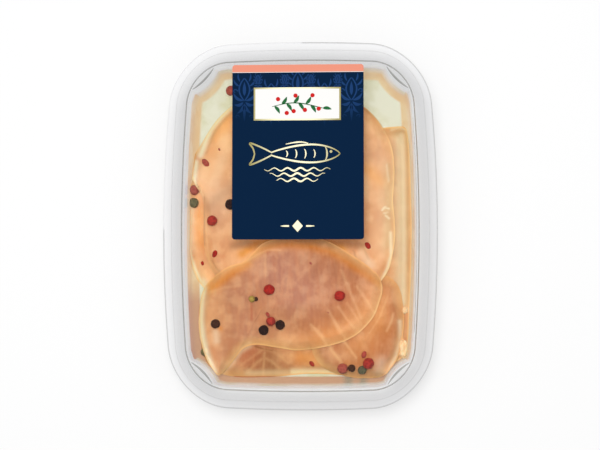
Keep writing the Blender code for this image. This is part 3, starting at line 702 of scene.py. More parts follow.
# %% The strokes on each slice
# For each mark its strokes, as a strength, a width and one or more paths, in millimetres
PAINT = {
    "slice_floor_right": {
        "cream_and_highlight": (
            (0.5, 1.5, ((44.6, 40), (45, 25), (45.1, -10), (44.8, -33))),
            (0.38, 3, ((43.4, 38), (43.4, 0), (43.4, -34))), (0.4, 0.8, ((40, 43), (43, 44), (46, 43.4))),
            # The round strokes near y -37 and y -57 and the curved one between them are painted highlights.
            (0.9, 0.9, (46.5, -36.8)), (1, 0.9, ((47.2, -51), (47.3, -54), (46.4, -57))),
            (0.6, 1.3, (45.6, -56.5)),
        ),
        "brown_and_shade": ((0.4, 0.45, ((46.7, 42), (46.9, 20), (46.8, -20))),),
        "olive": ((0.65, 3.6, ((44.8, 40), (45, 8), (44.8, -33))),),
        "rosy": ((0.6, 1.8, ((40.8, 38), (41, 10), (41, -12))), (0.6, 2.2, (45.8, -51))),
    },
    "slice_floor_top": {"cream_and_highlight": ((0.8, 1.2, ((-29, 50), (-37, 42), (-41, 30))),)},
    "slice_floor_front": {
        "deep": ((-0.4, 4, ((-10, -57), (5, -58), (20, -53))),),
        "cream_and_highlight": (
            # The first stroke is painted light along the crevice under the front slice's edge.
            (0.3, 1.3, ((-34.8, -65), (-30.3, -59.6), (-27, -55.2), (-23, -52.8))),
            (1, 1.5, ((-4, -64.4), (4, -64.2), (17, -64.3))), (0.4, 1.4, ((-24, -65), (-4, -64.6))),
        ),
        "brown_and_shade": (
            # The thin stroke after the wide one is a painted shadow in the gap at the front slice's edge.
            (0.9, 5.5, ((-14, -57), (-13, -66))), (1.3, 0.5, ((-20.4, -52.9), (-17, -54), (-13, -54.8))),
        ),
        "seam": (
            (0.6, 0.8, ((-23.5, -64), (-19.5, -60), (-16.5, -58), (-13.5, -59.3), (-10, -62.5))),
            (0.6, 0.7, ((-16.5, -56), (-16.8, -66))),
            (0.4, 0.7, ((-26.5, -61), (-21, -57), (-16.5, -54), (-11, -56), (-6, -60))),
        ),
        "red": ((0.55, 3.6, ((-25, -57.5), (-20.5, -55.5))),),
        "gold": ((0.5, 4, ((0, -58), (20, -62))),),
        "flush": ((1, 4, ((-43, -44), (-43, -56), (-38, -63), (-28, -66), (-12, -66))),),
    },
    "slice_corner": {
        "deep": ((-0.35, 4, ((15, -56), (25, -51), (34, -41), (38, -28))),),
        "gold": ((0.5, 9, ((30, -32), (36, -45), (27, -58))), (0.5, 2, ((20, -60), (31, -61)))),
        "seam": (
            (0.9, 0.6, ((15, -46), (18.5, -50.2), (24.2, -57.7))),
            (0.9, 0.8, ((9, -47), (11, -50.9), (13.7, -54.8), (17.8, -60.1))),
            (0.8, 0.6, ((40.5, -38.5), (39.5, -42), (37.6, -46))),
            (0.5, 0.5, ((38, -31), (34.5, -40), (30, -47))),
        ),
        "cream_and_highlight": (
            (0.75, 1, ((43.4, -42), (43.6, -50), (41.6, -57), (38.6, -63.5), (36.5, -66.2))),
            (0.3, 3, ((35, -60), (34.5, -64))),
        ),
        "rosy": ((0.5, 1.4, ((39, -60), (36.5, -66))),),
        "flush": (
            (0.9, 4, ((13, -33), (8, -45), (5, -54), (10, -62), (21, -66))),
            (0.8, 4, ((23, -24), (34, -21), (42, -26), (44.5, -36))),
        ),
    },
    "slice_left": {
        "cream_and_highlight": (
            (0.85, 0.8, ((-49.9, 14), (-50, 2), (-49.8, -8), (-48.8, -14), (-47.3, -19), (-44.8, -24))),
            (0.7, 2, ((-43.8, -24.6), (-41.5, -29))), (0.55, 2.6, ((-49.8, 8), (-49.8, -10))),
        ),
        "gold": ((0.4, 4, ((-46, 5), (-45, -6))),),
        "rosy": ((0.4, 5, (-43, -16)),),
        "flush": ((0.8, 4, ((-48, 18), (-50, 0), (-49, -12))),),
    },
    "slice_upper": {
        "gold": (
            (0.5, 4.5, ((-22, 56), (-31, 50), (-35, 45), (-37, 40))), (0.4, 5, ((-34, 38), (-37, 33))),
            (0.35, 6, ((-38, 32), (-36, 24))), (0.5, 3.2, ((28, 26), (35, 20))),
            (1, 2.2, ((-26, -12), (-20, -8), (-12, -5.6), (0, -4.8), (9, -7), (18, -10))),
        ),
        "deep": ((0.3, 6, ((-35, 26), (-33, 20))), (0.3, 8, ((-38, 4), (-34, -5)))),
        "cream_and_highlight": (
            (0.3, 4, ((-34, 38), (-36, 29), (-38, 20))),
            # The short strokes near x 37, y 3 to 8 are painted highlights, and so is the streak at x -47.
            (1, 1.6, ((-12, 61.6), (-24, 58.1), (-30.7, 54.8), (-35.5, 50.5), (-40.6, 44.4), (-43, 38.3),
             (-45, 32))), (1, 1.2, ((-47, 29), (-47.6, 18))), (0.5, 0.8, ((37.8, 27), (38.6, 20))),
            (0.2, 7, ((37, 28), (37, 10), (35, -8))), (0.18, 8, ((-38, 30), (-36, 8))),
            (0.9, 0.45, ((35.6, 7), (37, 8.4), (38.8, 7.6))), (0.9, 0.5, ((37.4, 4.6), (38.8, 3.4))),
            (0.7, 0.4, ((36.6, 5.6), (38.2, 6))),
            (0.75, 0.9, ((39.4, -3), (39.6, -13), (38, -18.5), (36, -23.5))),
            (0.35, 2.2, ((26.5, -12), (31, -17))),
        ),
        "brown_and_shade": (
            (0.35, 0.5, ((-22, 56.2), (-29.6, 52.4), (-34.2, 48.4), (-38.8, 42.6), (-41, 37), (-42.6, 32))),
            # The first stroke is painted shade beside the black corn.
            (0.45, 3, ((-30, 18), (-36, 13), (-41.5, 9))), (0.6, 0.45, ((-42.9, 13), (-43, 4), (-42.9, -8))),
            (0.3, 0.5, ((-39.5, -15), (-37.5, -19), (-35.6, -20.5))),
            (0.5, 0.45, ((27.5, 53), (33, 48.2), (36, 44.5), (38.6, 40.5))),
            (0.6, 2, ((-30, -8.6), (0, -7), (27, -8.6))),
            (0.6, 0.4, ((23.2, -11), (24.6, -15.2), (27.4, -16.6))),
            (0.5, 0.4, ((26.6, -8), (28.2, -11), (29.6, -14.4))), (0.35, 2.2, (-26, -11.5)),
        ),
        "seam": (
            (0.7, 0.45, ((-41.8, 0), (-41.6, -10), (-40.8, -15.4), (-37.3, -19.8))),
            (0.3, 0.6, ((33, 22), (37, 8), (37.5, -5)), ((28, 34), (33.5, 20), (35, 2))),
        ),
        "rosy": ((0.6, 5, ((33, 37), (31, 30))), (0.22, 7, ((35, 26), (35, 4))), (0.5, 1.7, (28.6, -16.2))),
        "olive": ((0.35, 2.6, ((38.6, 26), (38.4, 5), (38, -8))),),
        "red": ((0.35, 3, ((-22, -9), (0, -5.4), (14, -8))), (0.45, 1.2, ((-37.6, -12.6), (-36.6, -15.4)))),
        "flush": ((1, 3, ((-43, 14), (-42.6, 0), (-40.4, -16), (-36, -23))), (0.6, 4, ((28, 52), (38, 39)))),
    },
    "slice_front": {
        "deep": (
            (-0.5, 6, ((-41, -30), (-42, -45), (-39, -62))),
            (-0.55, 4.5, ((-6, -51), (6, -50.5), (20, -46), (29, -38), (33, -29))),
        ),
        "gold": (
            (1, 2.6, ((-41.5, -27), (-37.5, -25.4), (-33.6, -22.6), (-29.6, -19.8), (-24.6, -16.6))),
            (0.9, 2.2, ((-22, -11.6), (-15, -9), (-4.7, -8), (6, -9))),
            (0.8, 2.2, ((6, -9.6), (13, -11.4), (20, -15.4), (25.5, -19.4), (30, -22.4), (34.6, -25))),
            # The small stroke at the end of the next line is a painted shadow beside a black corn.
            (0.4, 13, ((26, -38), (10, -50))), (0.8, 1.2, (-35.8, -45.2)),
        ),
        "brown_and_shade": ((0.6, 0.9, (34.8, -24.4)),),
        "rosy": ((1, 13, ((-12, -20), (0, -30))), (0.6, 7, ((-27, -30), (-24, -48)))),
        "seam": (
            (0.9, 0.5, ((-31, -17.6), (-24, -15.2), (-19, -12.4), (-14.5, -10.4), (-9, -10.6))),
            (0.5, 0.7, ((-40, -29), (-34, -27), (-26.6, -26)), ((-15.8, -11), (-15.8, -17.2), (-15.4, -22))),
            (0.8, 0.6, ((17.7, -19.4), (21.6, -29.1), (26.4, -40.6)), ((24.5, -26.5), (28.8, -32.6),
             (32, -38)), ((16.5, -35.6), (20.3, -41.2), (23.2, -44.4))),
            (0.6, 0.6, ((20.3, -33.9), (26, -42.6))),
            (0.8, 0.7, ((12, -37), (15.6, -43.4), (19.6, -49.6)), ((4.5, -43.4), (8.6, -47.6), (11.1, -52))),
        ),
        "cream_and_highlight": (
            # The edge stroke below is pale edge and painted highlight; the oval after it is a painted
            # highlight.
            (1, 1.4, ((-43.4, -27), (-44.4, -34), (-44.6, -41), (-43.6, -49), (-41.4, -57), (-38.4, -64))),
            (0.4, 1.6, ((-37.8, -46.8), (-37.4, -50.4))),
            (0.2, 1, ((-34.6, -64.2), (-30.2, -58.6), (-26.8, -54.2), (-22.8, -51.6))),
        ),
        "red": (
            (0.55, 0.5, ((-22, -34), (-21.8, -41))), (0.7, 2.9, (17.1, -30.6)), (0.3, 2.8, (-13.6, -42.3)),
        ),
    },
}
print("strokes:", sum(len(kind) for marks in PAINT.values() for kind in marks.values()))

# %% How each slice differs from its solid
# How deep in colour it is, how far it reaches past its solid, and how far its edge may sink, in
# millimetres. A bulge or a climb up the wall is (how far, over what width, along what path).
DEEP = {
    "slice_floor_right": 0.4, "slice_floor_top": 0.3, "slice_floor_front": 0.95, "slice_corner": 1.0,
    "slice_left": 0.0, "slice_upper": 0.15, "slice_front": 0.95,
}
REACH = {
    "slice_floor_right": 0.5, "slice_floor_front": 1.1, "slice_corner": 0.4, "slice_left": 1.2,
    "slice_upper": 0.8, "slice_front": 0.3,
}
SINK, USUAL_SINK = {"slice_front": 3.4}, 2.4
BULGE = {"slice_upper": (3.4, 9, (-43.5, 25)), "slice_left": (2.4, 12, (-48.5, 0))}
CLIMB = {"slice_left": (0.8, 6, ((-49.5, 12), (-49.5, -9)))}

print("slices with a reach of their own:", len(REACH))

# %% The ragged rim of a fine slice
AROUND, RAGGED_WAVES, RAGGED = 480, (9, 14, 23, 37, 61, 88), 0.0875
UNDER_WALL, LEAST_REACH, REACH_STEPS, REACH_ROUNDS = 1.4 * MM, 0.88, 49, 4


def swelling(table, name, rim):
    """How far each place of the rim bulges or climbs, by a table of such places."""
    size, width, path = table.get(name, (0, 1, (0, 0)))
    return size * MM * stroke(rim / MM, path, width)


def fine_rim(name, middle, edge, rows, bare, seed):
    """The ragged rim of a slice, clear of the wall, and the heights of its underside by ring."""
    chance = np.random.default_rng(seed)
    turn = np.arange(AROUND) / AROUND * SLICE_POINTS
    wrap = np.arange(-3, SLICE_POINTS + 3)
    rim = between(wrap, edge[wrap % SLICE_POINTS], turn)
    heights = between(wrap, rows[:, wrap % SLICE_POINTS].T, turn)
    angle = np.arange(AROUND) / AROUND * 2 * math.pi
    waves = [np.sin(count * angle + chance.uniform(0, 6.28)) / count**0.5 for count in RAGGED_WAVES]
    away = rim - middle
    further = (REACH.get(name, 0) - RAGGED * sum(waves)) * MM + swelling(BULGE, name, rim)
    climb = swelling(CLIMB, name, rim)
    rim = rim + away * (further / np.hypot(*away.T))[:, None]
    highest = heights[:, -1] + climb + UNDER_WALL
    rim = drawn_in(middle, rim, bare, highest, LEAST_REACH, REACH_STEPS, REACH_ROUNDS)
    return rim, heights, climb


# %% What is kept at each point of a slice
def painted_marks(name, flat):
    """The values of every mark on a slice, at places in millimetres."""
    marks = {mark: np.zeros(len(flat)) for mark in MARKS}
    for mark, strokes in PAINT[name].items():
        for strength, width, *paths in strokes:
            for path in paths:
                touched = strength * stroke(flat, path, width)
                marks[mark] = marks[mark] + touched if mark == "deep" else np.maximum(marks[mark], touched)
    marks["deep"] += DEEP[name]
    return marks


def from_rim(places, rim):
    """How far each place lies from the nearest stretch of the rim."""
    along = np.roll(rim, -1, axis=0) - rim
    found = []
    for row in places:
        gap = row[:, None] - rim[None]
        share = np.clip((gap * along).sum(axis=2) / (along**2).sum(axis=1), 0, 1)
        gap = gap - share[..., None] * along
        found.append(np.hypot(gap[..., 0], gap[..., 1]).min(axis=1))
    return np.array(found)


def near_rim(inwards, reach):
    """1 at the rim, and 0 from a reach in millimetres inwards."""
    return np.clip(1 - inwards / (reach * MM), 0, 1)


# %% A fine slice on its coarse drape
SHARES = np.concatenate([np.linspace(0.012, 0.94, 60), 0.94 + 0.06 * np.linspace(0, 1, 15)[1:] ** 0.8])
SLICE_THICKNESS, THIN_EDGE, FULL_FROM, CLEARANCE, LIFT_ROUNDS = 1.8 * MM, 0.13, 4.4 * MM, 0.14 * MM, 6
COARSE_RELIEF, FINE_RELIEF, SEAM_DEPTH, DEEPEST = (0.2, 11 * MM), (0.07, 3.6 * MM), 0.1, -0.25
print("points on the top of a slice:", AROUND * len(SHARES))


def fine_slice(name, middle, edge, rows, fine_ground, bare, seed):
    """The rings of a slice, top and underside, clear of all that already lies there, and its marks."""
    rim, heights, climb = fine_rim(name, middle, edge, rows, bare, seed)
    opposite = np.roll(heights, AROUND // 2, axis=0)
    knots = (-RING_SHARES[1], -RING_SHARES[0], 0, *RING_SHARES)
    under = between(knots, np.column_stack([opposite[:, 2], opposite[:, 1], heights]).T, SHARES)
    places = middle + SHARES[:, None, None] * (rim - middle)[None]
    inwards = np.minimum((1 - SHARES)[:, None] * np.hypot(*(rim - middle).T), from_rim(places, rim[::2]))
    lack = np.maximum(fine_ground.at(places) + CLEARANCE - under, 0)
    for _ in range(LIFT_ROUNDS):
        soft = (np.roll(lack, 1, 1) + np.roll(lack, -1, 1) + 2 * lack) / 4
        soft[1:-1] = (soft[:-2] + 2 * soft[1:-1] + soft[2:]) / 4
        lack = np.maximum(lack, soft)
    under = under + lack
    hollow = np.clip(under - fine_ground.at(places) - 0.2 * MM, 0, SINK.get(name, USUAL_SINK) * MM)
    under = under - hollow * near_rim(inwards, 6) ** 1.5 + climb * near_rim(inwards, 4) ** 2
    marks = painted_marks(name, places.reshape(-1, 2) / MM)
    marks = {mark: values.reshape(inwards.shape) for mark, values in marks.items()}
    marks["rim"] = inwards / MM
    full = THIN_EDGE + (1 - THIN_EDGE) * eased(inwards / FULL_FROM)
    relief = -SEAM_DEPTH * marks["seam"]
    for number, (depth, size) in enumerate((COARSE_RELIEF, FINE_RELIEF)):
        relief = relief + depth * ripple(places, size, seed + number)
    relief = relief * np.clip(inwards / (3 * MM), 0.15, 1)
    over = under + SLICE_THICKNESS * full + np.maximum(relief, DEEPEST) * MM
    return places, under, over, marks


# %% The closed mesh of a slice
UNDER_RINGS = [73, 68, 63, 59, *range(54, -1, -6)]
print("rings on the underside:", len(UNDER_RINGS))


def slice_mesh(places, under, over, middle):
    """The fine top, an underside of fewer rings, and one point at each pole."""
    rings = [ring(*layer) for layer in zip(places, over)] + [ring(places[i], under[i]) for i in UNDER_RINGS]
    poles = [(*middle, over[0].mean()), (*middle, under[0].mean())]
    here, last = np.arange(AROUND), (len(rings) - 1) * AROUND
    after, pole = np.roll(here, -1), last + AROUND
    fans = [*pairs(pole, after, here).tolist(), *pairs(pole + 1, last + here, last + after).tolist()]
    return np.concatenate([*rings, poles]), bands(len(rings), AROUND) + fans


# %% [markdown]
# ## The flesh's finish
#
# Under oil the flesh looks soft and wet, because light enters it and comes out a little further on. A
# plain colour would look like plastic. The finish starts from salmon, lets slow clouds of pink and orange
# run through it, adds a fine grain along the fibres, and then mixes in the painted marks one by one. A
# little subsurface scattering softens the shadows of what lies on it.

# %% Salmon
salmon = Finish("salmon_flesh")
drift = salmon.step(salmon.cloud(55), 0.35, 0.68)
patch = salmon.step(salmon.cloud(170), 0.4, 0.7)
grain = salmon.grain((900, 260, 260), 0.9, 2.0)
fibre = salmon.step(salmon.grain((420, 60, 200), 0.15, 3.0), 0.35, 0.75)
deep, rim = salmon.painted("deep"), salmon.painted("rim")
dark = deep.clamped()
# Painted light within 5 mm of a slice's rim, where its sloping edge gets less light.
painted_rim_light = 1 - salmon.step(rim, 0.5, 5.0)
# Painted highlight along the cut edge, left off where flush is painted.
cut_highlight = (1 - salmon.step(rim, 0.2, 0.95)) * (1 - salmon.painted("flush"))
body = salmon.mix(
    dark, salmon.mix(drift, colour(248, 194, 150), colour(230, 162, 118)),
    salmon.mix(drift, colour(184, 120, 88), colour(164, 100, 67)),
)
for share, laid_over in (
    (salmon.painted("rosy") * 0.75, colour(180, 122, 106)),
    (patch * (0.5 - deep * 0.25), colour(250, 204, 164)),
    (fibre * 0.24, colour(222, 150, 104)),
    (salmon.painted("gold") * 0.8, salmon.mix(dark, colour(252, 170, 62), colour(204, 118, 22))),
    (salmon.painted("red") * 0.7, colour(178, 70, 42)),
    (salmon.painted("brown_and_shade") * 0.75, colour(140, 80, 42)),
    ((grain - 0.35) * 0.24, colour(244, 196, 152)),
    (salmon.painted("seam") * 0.32, colour(250, 206, 158)),
    (salmon.painted("olive") * 0.9, colour(188, 166, 120)),
    (salmon.painted("cream_and_highlight") * 0.9, colour(255, 242, 222)),
    (painted_rim_light * dark * 0.45, colour(252, 198, 138)),
    (cut_highlight * 0.65, salmon.mix(dark, colour(255, 218, 170), colour(250, 186, 128))),
):
    body = salmon.mix(share, body, laid_over)
salmon.done({
    "Base Color": body, "Roughness": 0.4 - patch * 0.08, "Specular IOR Level": 0.25,
    "Subsurface Weight": 0.25, "Subsurface Radius": (1.0, 0.6, 0.4), "Subsurface Scale": 1.0 * MM,
    "Normal": salmon.relief(salmon.cloud(420) * 0.6 + grain * 0.4, 0.1 * MM, 0.6),
})
print("salmon:", len(salmon.tree.nodes), "nodes")

# %% [markdown]
# ## The peppercorns
#
# Whole peppercorns, black, pink and grey green, lie on the slices with a few red flakes of their skin.
# Black ones are wrinkled all over, in a net of ridges round sunken fields. Pink ones have a thin, nearly
# smooth skin with a few dents. A smooth ball with bump would show a perfect outline, so the wrinkles are
# cut into the mesh itself: cells round random points sink by their distance to the nearest border.

# %% A ball to start from, and what is cut into it
ball = bmesh.new()
bmesh.ops.create_icosphere(ball, subdivisions=4, radius=1)
BALL_POINTS = np.array([vertex.co for vertex in ball.verts])
BALL_FACES = np.array([[vertex.index for vertex in face.verts] for face in ball.faces])
ball.free()
print("ball:", len(BALL_POINTS), "points")

# %% The shape of a corn
# The size and depth of its wrinkles, by kind
WRINKLES = {"black": (0.42, 0.11), "green": (0.55, 0.09), "pink": (0.8, 0.045), "chip": (0.7, 0.12)}


def swells(size, shift):
    """Smooth noise at each point of the ball, with its pattern moved by shift."""
    return np.array([noise.noise(Vector(point) * size + Vector(shift)) for point in BALL_POINTS])


def wrinkles(size, shift):
    """0 on a net of ridges and up to 1 inside its fields, for each point of the ball."""
    values = []
    for point in BALL_POINTS:
        near, next_near = noise.voronoi(Vector(point) / size + Vector((shift, shift * 0.7, 3)))[0][:2]
        values.append(min(1.0, (next_near - near) * 2.2))
    return np.array(values)


def corn_points(kind, radius, seed):
    """A peppercorn or flake round the origin, and how deep each of its points lies in a wrinkle."""
    chance = np.random.default_rng(seed)
    size, depth = WRINKLES[kind]
    hollow = wrinkles(size, seed * 1.7)
    points = BALL_POINTS * (1 - depth * hollow + 0.07 * swells(1.3, (seed, 0, 0)))[:, None]
    if kind == "chip":
        points = points * (1, 0.62, 0.3)
        points[:, 2] -= 0.22 * points[:, 0] ** 2
    else:
        points = points * (1, 1 - 0.06 * chance.random(), 1 - 0.05 * chance.random())
    spin = Matrix.Rotation(chance.uniform(0, 2 * math.pi), 3, "Z")
    return radius * points @ np.array(spin).T, hollow


# %% Where the peppercorns lie
# On each slice, the number of its first corn, which seeds its wrinkles, then for each corn its kind, x, y
# and radius in millimetres, and a tone from 0 for the fresh colour to 1 for the dull one
PEPPER = {
    "slice_front": (0, (
        ("black", -37.9, -43, 2.15, 0.4), ("black", -16.6, -45.8, 2.3, 0), ("black", -9.3, -43.4, 2.2, 0.1),
        ("pink", -13.4, -41.9, 2.1, 0.25), ("pink", -14, -28, 2.5, 0), ("pink", 17, -30.7, 2.4, 0.1),
        ("green", -21.7, -32.1, 1.5, 1), ("black", -19.9, -32.1, 1, 0.3), ("chip", -14.8, -38.9, 1.25, 0.7),
        ("chip", 4.3, -16.4, 0.7, 1), ("chip", 12, -38, 0.4, 1)
    )),
    "slice_upper": (11, (
        ("black", -31.3, 9.7, 2.4, 0), ("pink", -39.4, 2.5, 2.35, 0.2), ("chip", -42.5, 28.3, 2.2, 0.75),
        ("chip", -36.5, 34.4, 0.7, 1), ("chip", -38.3, -12, 1.8, 0), ("chip", 10.5, -8, 1.4, 0.3),
        ("chip", 29.4, -8.6, 1.8, 0.1)
    )),
    "slice_left": (18, (
        ("pink", -47.5, 16.2, 2.3, 1), ("green", -47.6, 10.5, 2.25, 0.2), ("chip", -44, -16.2, 1.1, 0.1)
    )),
    "slice_floor_front": (21, (
        ("green", -43, -55.5, 1.9, 0.3), ("chip", 4.6, -60.6, 1.5, 0.3)
    )),
    "slice_corner": (23, (
        ("pink", 29.5, -60.2, 2.5, 0.2), ("pink", 18.2, -62.6, 2.4, 0.9), ("black", 22.2, -62.4, 1.7, 0.6),
        ("green", 26.8, -63.2, 2, 0.1), ("chip", 27.6, -56.4, 1.7, 0.6)
    )),
}
print("corns and flakes on slices:", sum(len(corns) for _, corns in PEPPER.values()))


# %% The pepper's finishes
def pepper_finish(name, fresh, dull, mottle_and_wrinkle_shade, rough, grain):
    """A finish that goes from fresh to dull by the corn's tone, with painted shade inside its wrinkles."""
    finish = Finish(name)
    body = finish.mix(finish.painted("tone"), fresh, dull)
    body = finish.mix(finish.step(finish.cloud(900), 0.45, 0.8) * 0.5, body, mottle_and_wrinkle_shade)
    # Painted shade inside the wrinkles.
    body = finish.mix(finish.painted("hollow") * 0.45, body, mottle_and_wrinkle_shade)
    return finish.done({
        "Base Color": body, "Roughness": rough + finish.cloud(1500) * 0.2, "Specular IOR Level": 0.15,
        "Normal": finish.relief(finish.cloud(grain), 0.12 * MM, 0.7),
    })


PEPPER_FINISHES = {
    kind: pepper_finish(f"{kind}_pepper", colour(*fresh), colour(*dull), colour(*mottle_and_wrinkle_shade), rough, grain)
    for kind, fresh, dull, mottle_and_wrinkle_shade, rough, grain in (
        ("black", (38, 8, 1), (98, 58, 34), (14, 4, 1), 0.45, 1800),
        ("pink", (176, 32, 20), (178, 92, 80), (92, 14, 10), 0.3, 900),
        ("green", (92, 94, 80), (178, 152, 72), (48, 46, 34), 0.5, 1500),
    )
}

# %% [markdown]
# ## Laying the slices and their pepper
#
# The slices are laid in the order in which they lie in the tray. After each one, the fine map of the
# tray takes it up, and then its peppercorns, so the next slice bends over them. The coarse map takes up
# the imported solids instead, because those gave the drape that is repeated.

# %% The slices in the order in which they were laid
# Each has its pole and its outline, in millimetres
SLICES = {
    "slice_floor_right": ((22, 0), (
        (33, 43), (41, 44), (46.2, 43.2), (48, 30), (48.6, 10), (48.6, -12), (48, -34), (47.8, -49),
        (46, -57.5), (40, -60), (30, -58), (18, -53), (6, -40), (-2, -20), (-3, 4), (4, 26), (20, 39)
    )),
    "slice_floor_top": ((-10, 26), (
        (-29, 50), (-37, 42), (-41, 30), (-42, 16), (-39, 3), (-27, -5), (-8, -5), (12, 1), (23, 17),
        (26, 34), (21, 48), (8, 56), (-10, 58)
    )),
    "slice_floor_front": ((0, -48), (
        (-43, -46), (-43, -56), (-38, -63), (-28, -66), (-12, -65.5), (4, -64), (20, -65), (31, -64),
        (38, -58), (42, -48), (42, -38), (31, -31), (8, -30), (-18, -30), (-37, -34)
    )),
    "slice_corner": ((24, -46), (
        (8, -45), (5, -54), (10, -62), (21, -66), (30, -66.5), (37.5, -65), (42, -58), (44.5, -47),
        (44.5, -36), (42, -26), (34, -21), (23, -24), (13, -33)
    )),
    "slice_left": ((-25, -5), (
        (-47.5, 21), (-49.5, 8), (-49.5, -5), (-47.8, -16), (-43, -26), (-31, -31), (-16, -28), (-6, -16),
        (-4, 1), (-10, 15), (-25, 23), (-39, 26)
    )),
    "slice_upper": ((-2, 12), (
        (-31, 53.5), (-40, 44), (-45, 33), (-46.3, 23), (-43, 16.5), (-42.5, 8), (-42.5, -7), (-40, -17),
        (-32, -27), (-16, -35), (4, -38), (22, -34), (36, -22), (40.3, -8), (40.5, 4), (39.8, 12), (40.5, 23),
        (40, 31), (37.5, 40), (28.5, 52), (12.5, 59.5), (-4, 61.5), (-19, 60)
    )),
    "slice_front": ((-17, -36), (
        (-45.5, -40), (-43, -27), (-33, -18.5), (-24, -15), (-18, -8.5), (-7, -4.8), (5, -5), (15.5, -8.8),
        (29.5, -18), (35, -24), (35, -30), (31, -40.5), (20, -50), (0, -54.4), (-14, -52.6), (-22.5, -52),
        (-26.5, -54.6), (-30, -59), (-34.5, -64.6), (-38, -66), (-41.6, -60.4), (-44.5, -50)
    )),
}
print("slices:", ", ".join(SLICES))

# %% Lay them
SUNK = 0.45
ground, fine_ground, bare = Ground(), Ground(), Ground()
ground.cover(solids["tray"], 2)
bare.cover(solids["tray"], 0)
shaken = {"black": [], "pink": [], "green": []}


def shake(kind, x, y, radius, tone, seed, alone):
    """Adds one corn to the pepper of its kind, and lifts the fine map over it."""
    points, hollow = corn_points(kind, radius, seed)
    flat, pile = (0.3, "pink") if kind == "chip" else (1, kind)
    z = alone.at(np.array((x, y))) + SUNK * radius * flat
    shaken[pile].append((points + (x, y, z), hollow, tone))
    away = (MAP_ACROSS - x) ** 2 + (MAP_UP[:, None] - y) ** 2
    dome = z + np.sqrt(np.maximum(radius**2 - away, 0)) * (0.5 if kind == "chip" else 1)
    fine_ground.raise_to(np.where(away < (radius + 0.4 * MM) ** 2, dome, 0))


for number, (name, (pole, corners)) in enumerate(SLICES.items()):
    middle, edge, rows = coarse_drape(pole, corners, ground)
    places, under, over, marks = fine_slice(name, middle, edge, rows, fine_ground, bare, 11 + number)
    points, faces = slice_mesh(places, under, over, middle)
    for mark, values in marks.items():
        marks[mark] = [*values.ravel(), *values[UNDER_RINGS].ravel(), *[values[0].mean()] * 2]
    fish = add_piece(name + "_flesh", points, faces, [salmon], "fish", name, marks=marks, sharp=60)
    ground.cover(solids[name], 1)
    alone = Ground()
    alone.cover(fish, 1)
    fine_ground.raise_to(alone.heights)
    first, corns = PEPPER.get(name, (0, ()))
    for count, (kind, x, y, radius, tone) in enumerate(corns):
        shake(kind, x * MM, y * MM, radius * MM, tone, first + count, alone)


# %% Two small curled ends beside the corner slice
def curled_end(name, x, y, sizes, seed):
    """A crumpled scrap of flesh, with painted highlights along its folds and rosy between them."""
    creases = np.abs(swells(1.7, (0, seed, 4)))
    swell = 1 + 0.5 * swells(2.1, (seed, 0, 0)) - 0.7 * np.clip(0.25 - creases, 0, 1)
    height = fine_ground.at(np.array((x, y)) * MM) / MM + 0.6 * sizes[2]
    points = (BALL_POINTS * swell[:, None] * sizes + (x, y, height)) * MM
    fold_highlight = np.clip((creases - 0.16) * 4, 0, 1)
    marks = {"cream_and_highlight": fold_highlight, "rosy": 0.5 * (1 - fold_highlight)}
    add_piece(name, points, BALL_FACES.tolist(), [salmon], "fish", marks=marks)


curled_end("curled_end_wide", 45.0, -54.0, (2.0, 4.2, 1.2), 2)
curled_end("curled_end_small", 45.5, -37.0, (1.2, 1.4, 0.7), 5)


# %% The pepper as one piece a kind, and the loose corn at the tray's end
def pepper_piece(name, corns, kind, *replaced):
    """All corns of a kind as one mesh, with the hollow and the tone of each point."""
    points, hollow, tone = zip(*corns)
    faces = np.concatenate([BALL_FACES + number * len(BALL_POINTS) for number in range(len(corns))])
    marks = {"hollow": hollow, "tone": np.repeat(tone, len(BALL_POINTS))}
    points, faces, finish = np.concatenate(points), faces.tolist(), PEPPER_FINISHES[kind]
    add_piece(name, points, faces, [finish], f"{kind}_pepper", *replaced, marks=marks)


for kind, corns in shaken.items():
    pepper_piece(f"peppercorns_{kind}", corns, kind)
LOOSE_SHARE, LOOSE_SEED, LOOSE_TONE = 0.92, 77, 0.8
loose_low, loose_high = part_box("peppercorn_loose")
loose_points, loose_hollow = corn_points("pink", (loose_high.z - loose_low.z) / 2 * LOOSE_SHARE, LOOSE_SEED)
loose_corn = (loose_points + tuple((loose_low + loose_high) / 2), loose_hollow, LOOSE_TONE)
pepper_piece("peppercorn_at_the_end", [loose_corn], "pink", "peppercorn_loose")

# %% [markdown]
# ## The oil
#
# Pale oil stands in the tray to a little over half its height. It covers the slices, and only the
# highest peppercorns rise out of it. A flat plane would only mirror. The oil is a closed body instead:
# its side reaches a little way into the wall, so that no thin gap of air is seen between oil and
# plastic, and it creeps up where it meets the wall. Its colour comes from its depth.

# %% The oil's side and its surface
INTO_WALL, SIDE_RINGS, CREEP_FALL, OIL_UNEVEN, OIL_SWELL = 0.15 * MM, 5, 50 / 1.1, 0.05 * MM, 17 * MM
OIL_SHARES = np.concatenate([1 - 0.0035 * np.arange(1, 16), np.linspace(0.94, 0.03, 70)])
oil_side = [*base_bend(BASE_RADIUS + INTO_WALL)]
bend_top = oil_side[-1] - (INTO_WALL, 0)
for height in np.linspace(bend_top[1], WET_TO, SIDE_RINGS + 1)[1:]:
    oil_side.append((wall_at(height, bend_top) + INTO_WALL, height))
oil_rings = [ring(tray_outline(offset, 1), height) for offset, height in oil_side]
edge = oil_rings[-1][:, :2]
for share in OIL_SHARES:
    level = OIL_LEVEL + OIL_CREEP * np.exp((share - 1) * CREEP_FALL)
    oil_rings.append(ring(edge * share, level + OIL_UNEVEN * ripple(edge * share, OIL_SWELL, 9)))
oil_finish = clear_finish(
    "pale_oil", WHITE, colour(254, 254, 253), 0.0, 1.47, absorbed=((0.9, 0.85, 0.25, 1), 22.0),
    hidden="against_plastic",
)
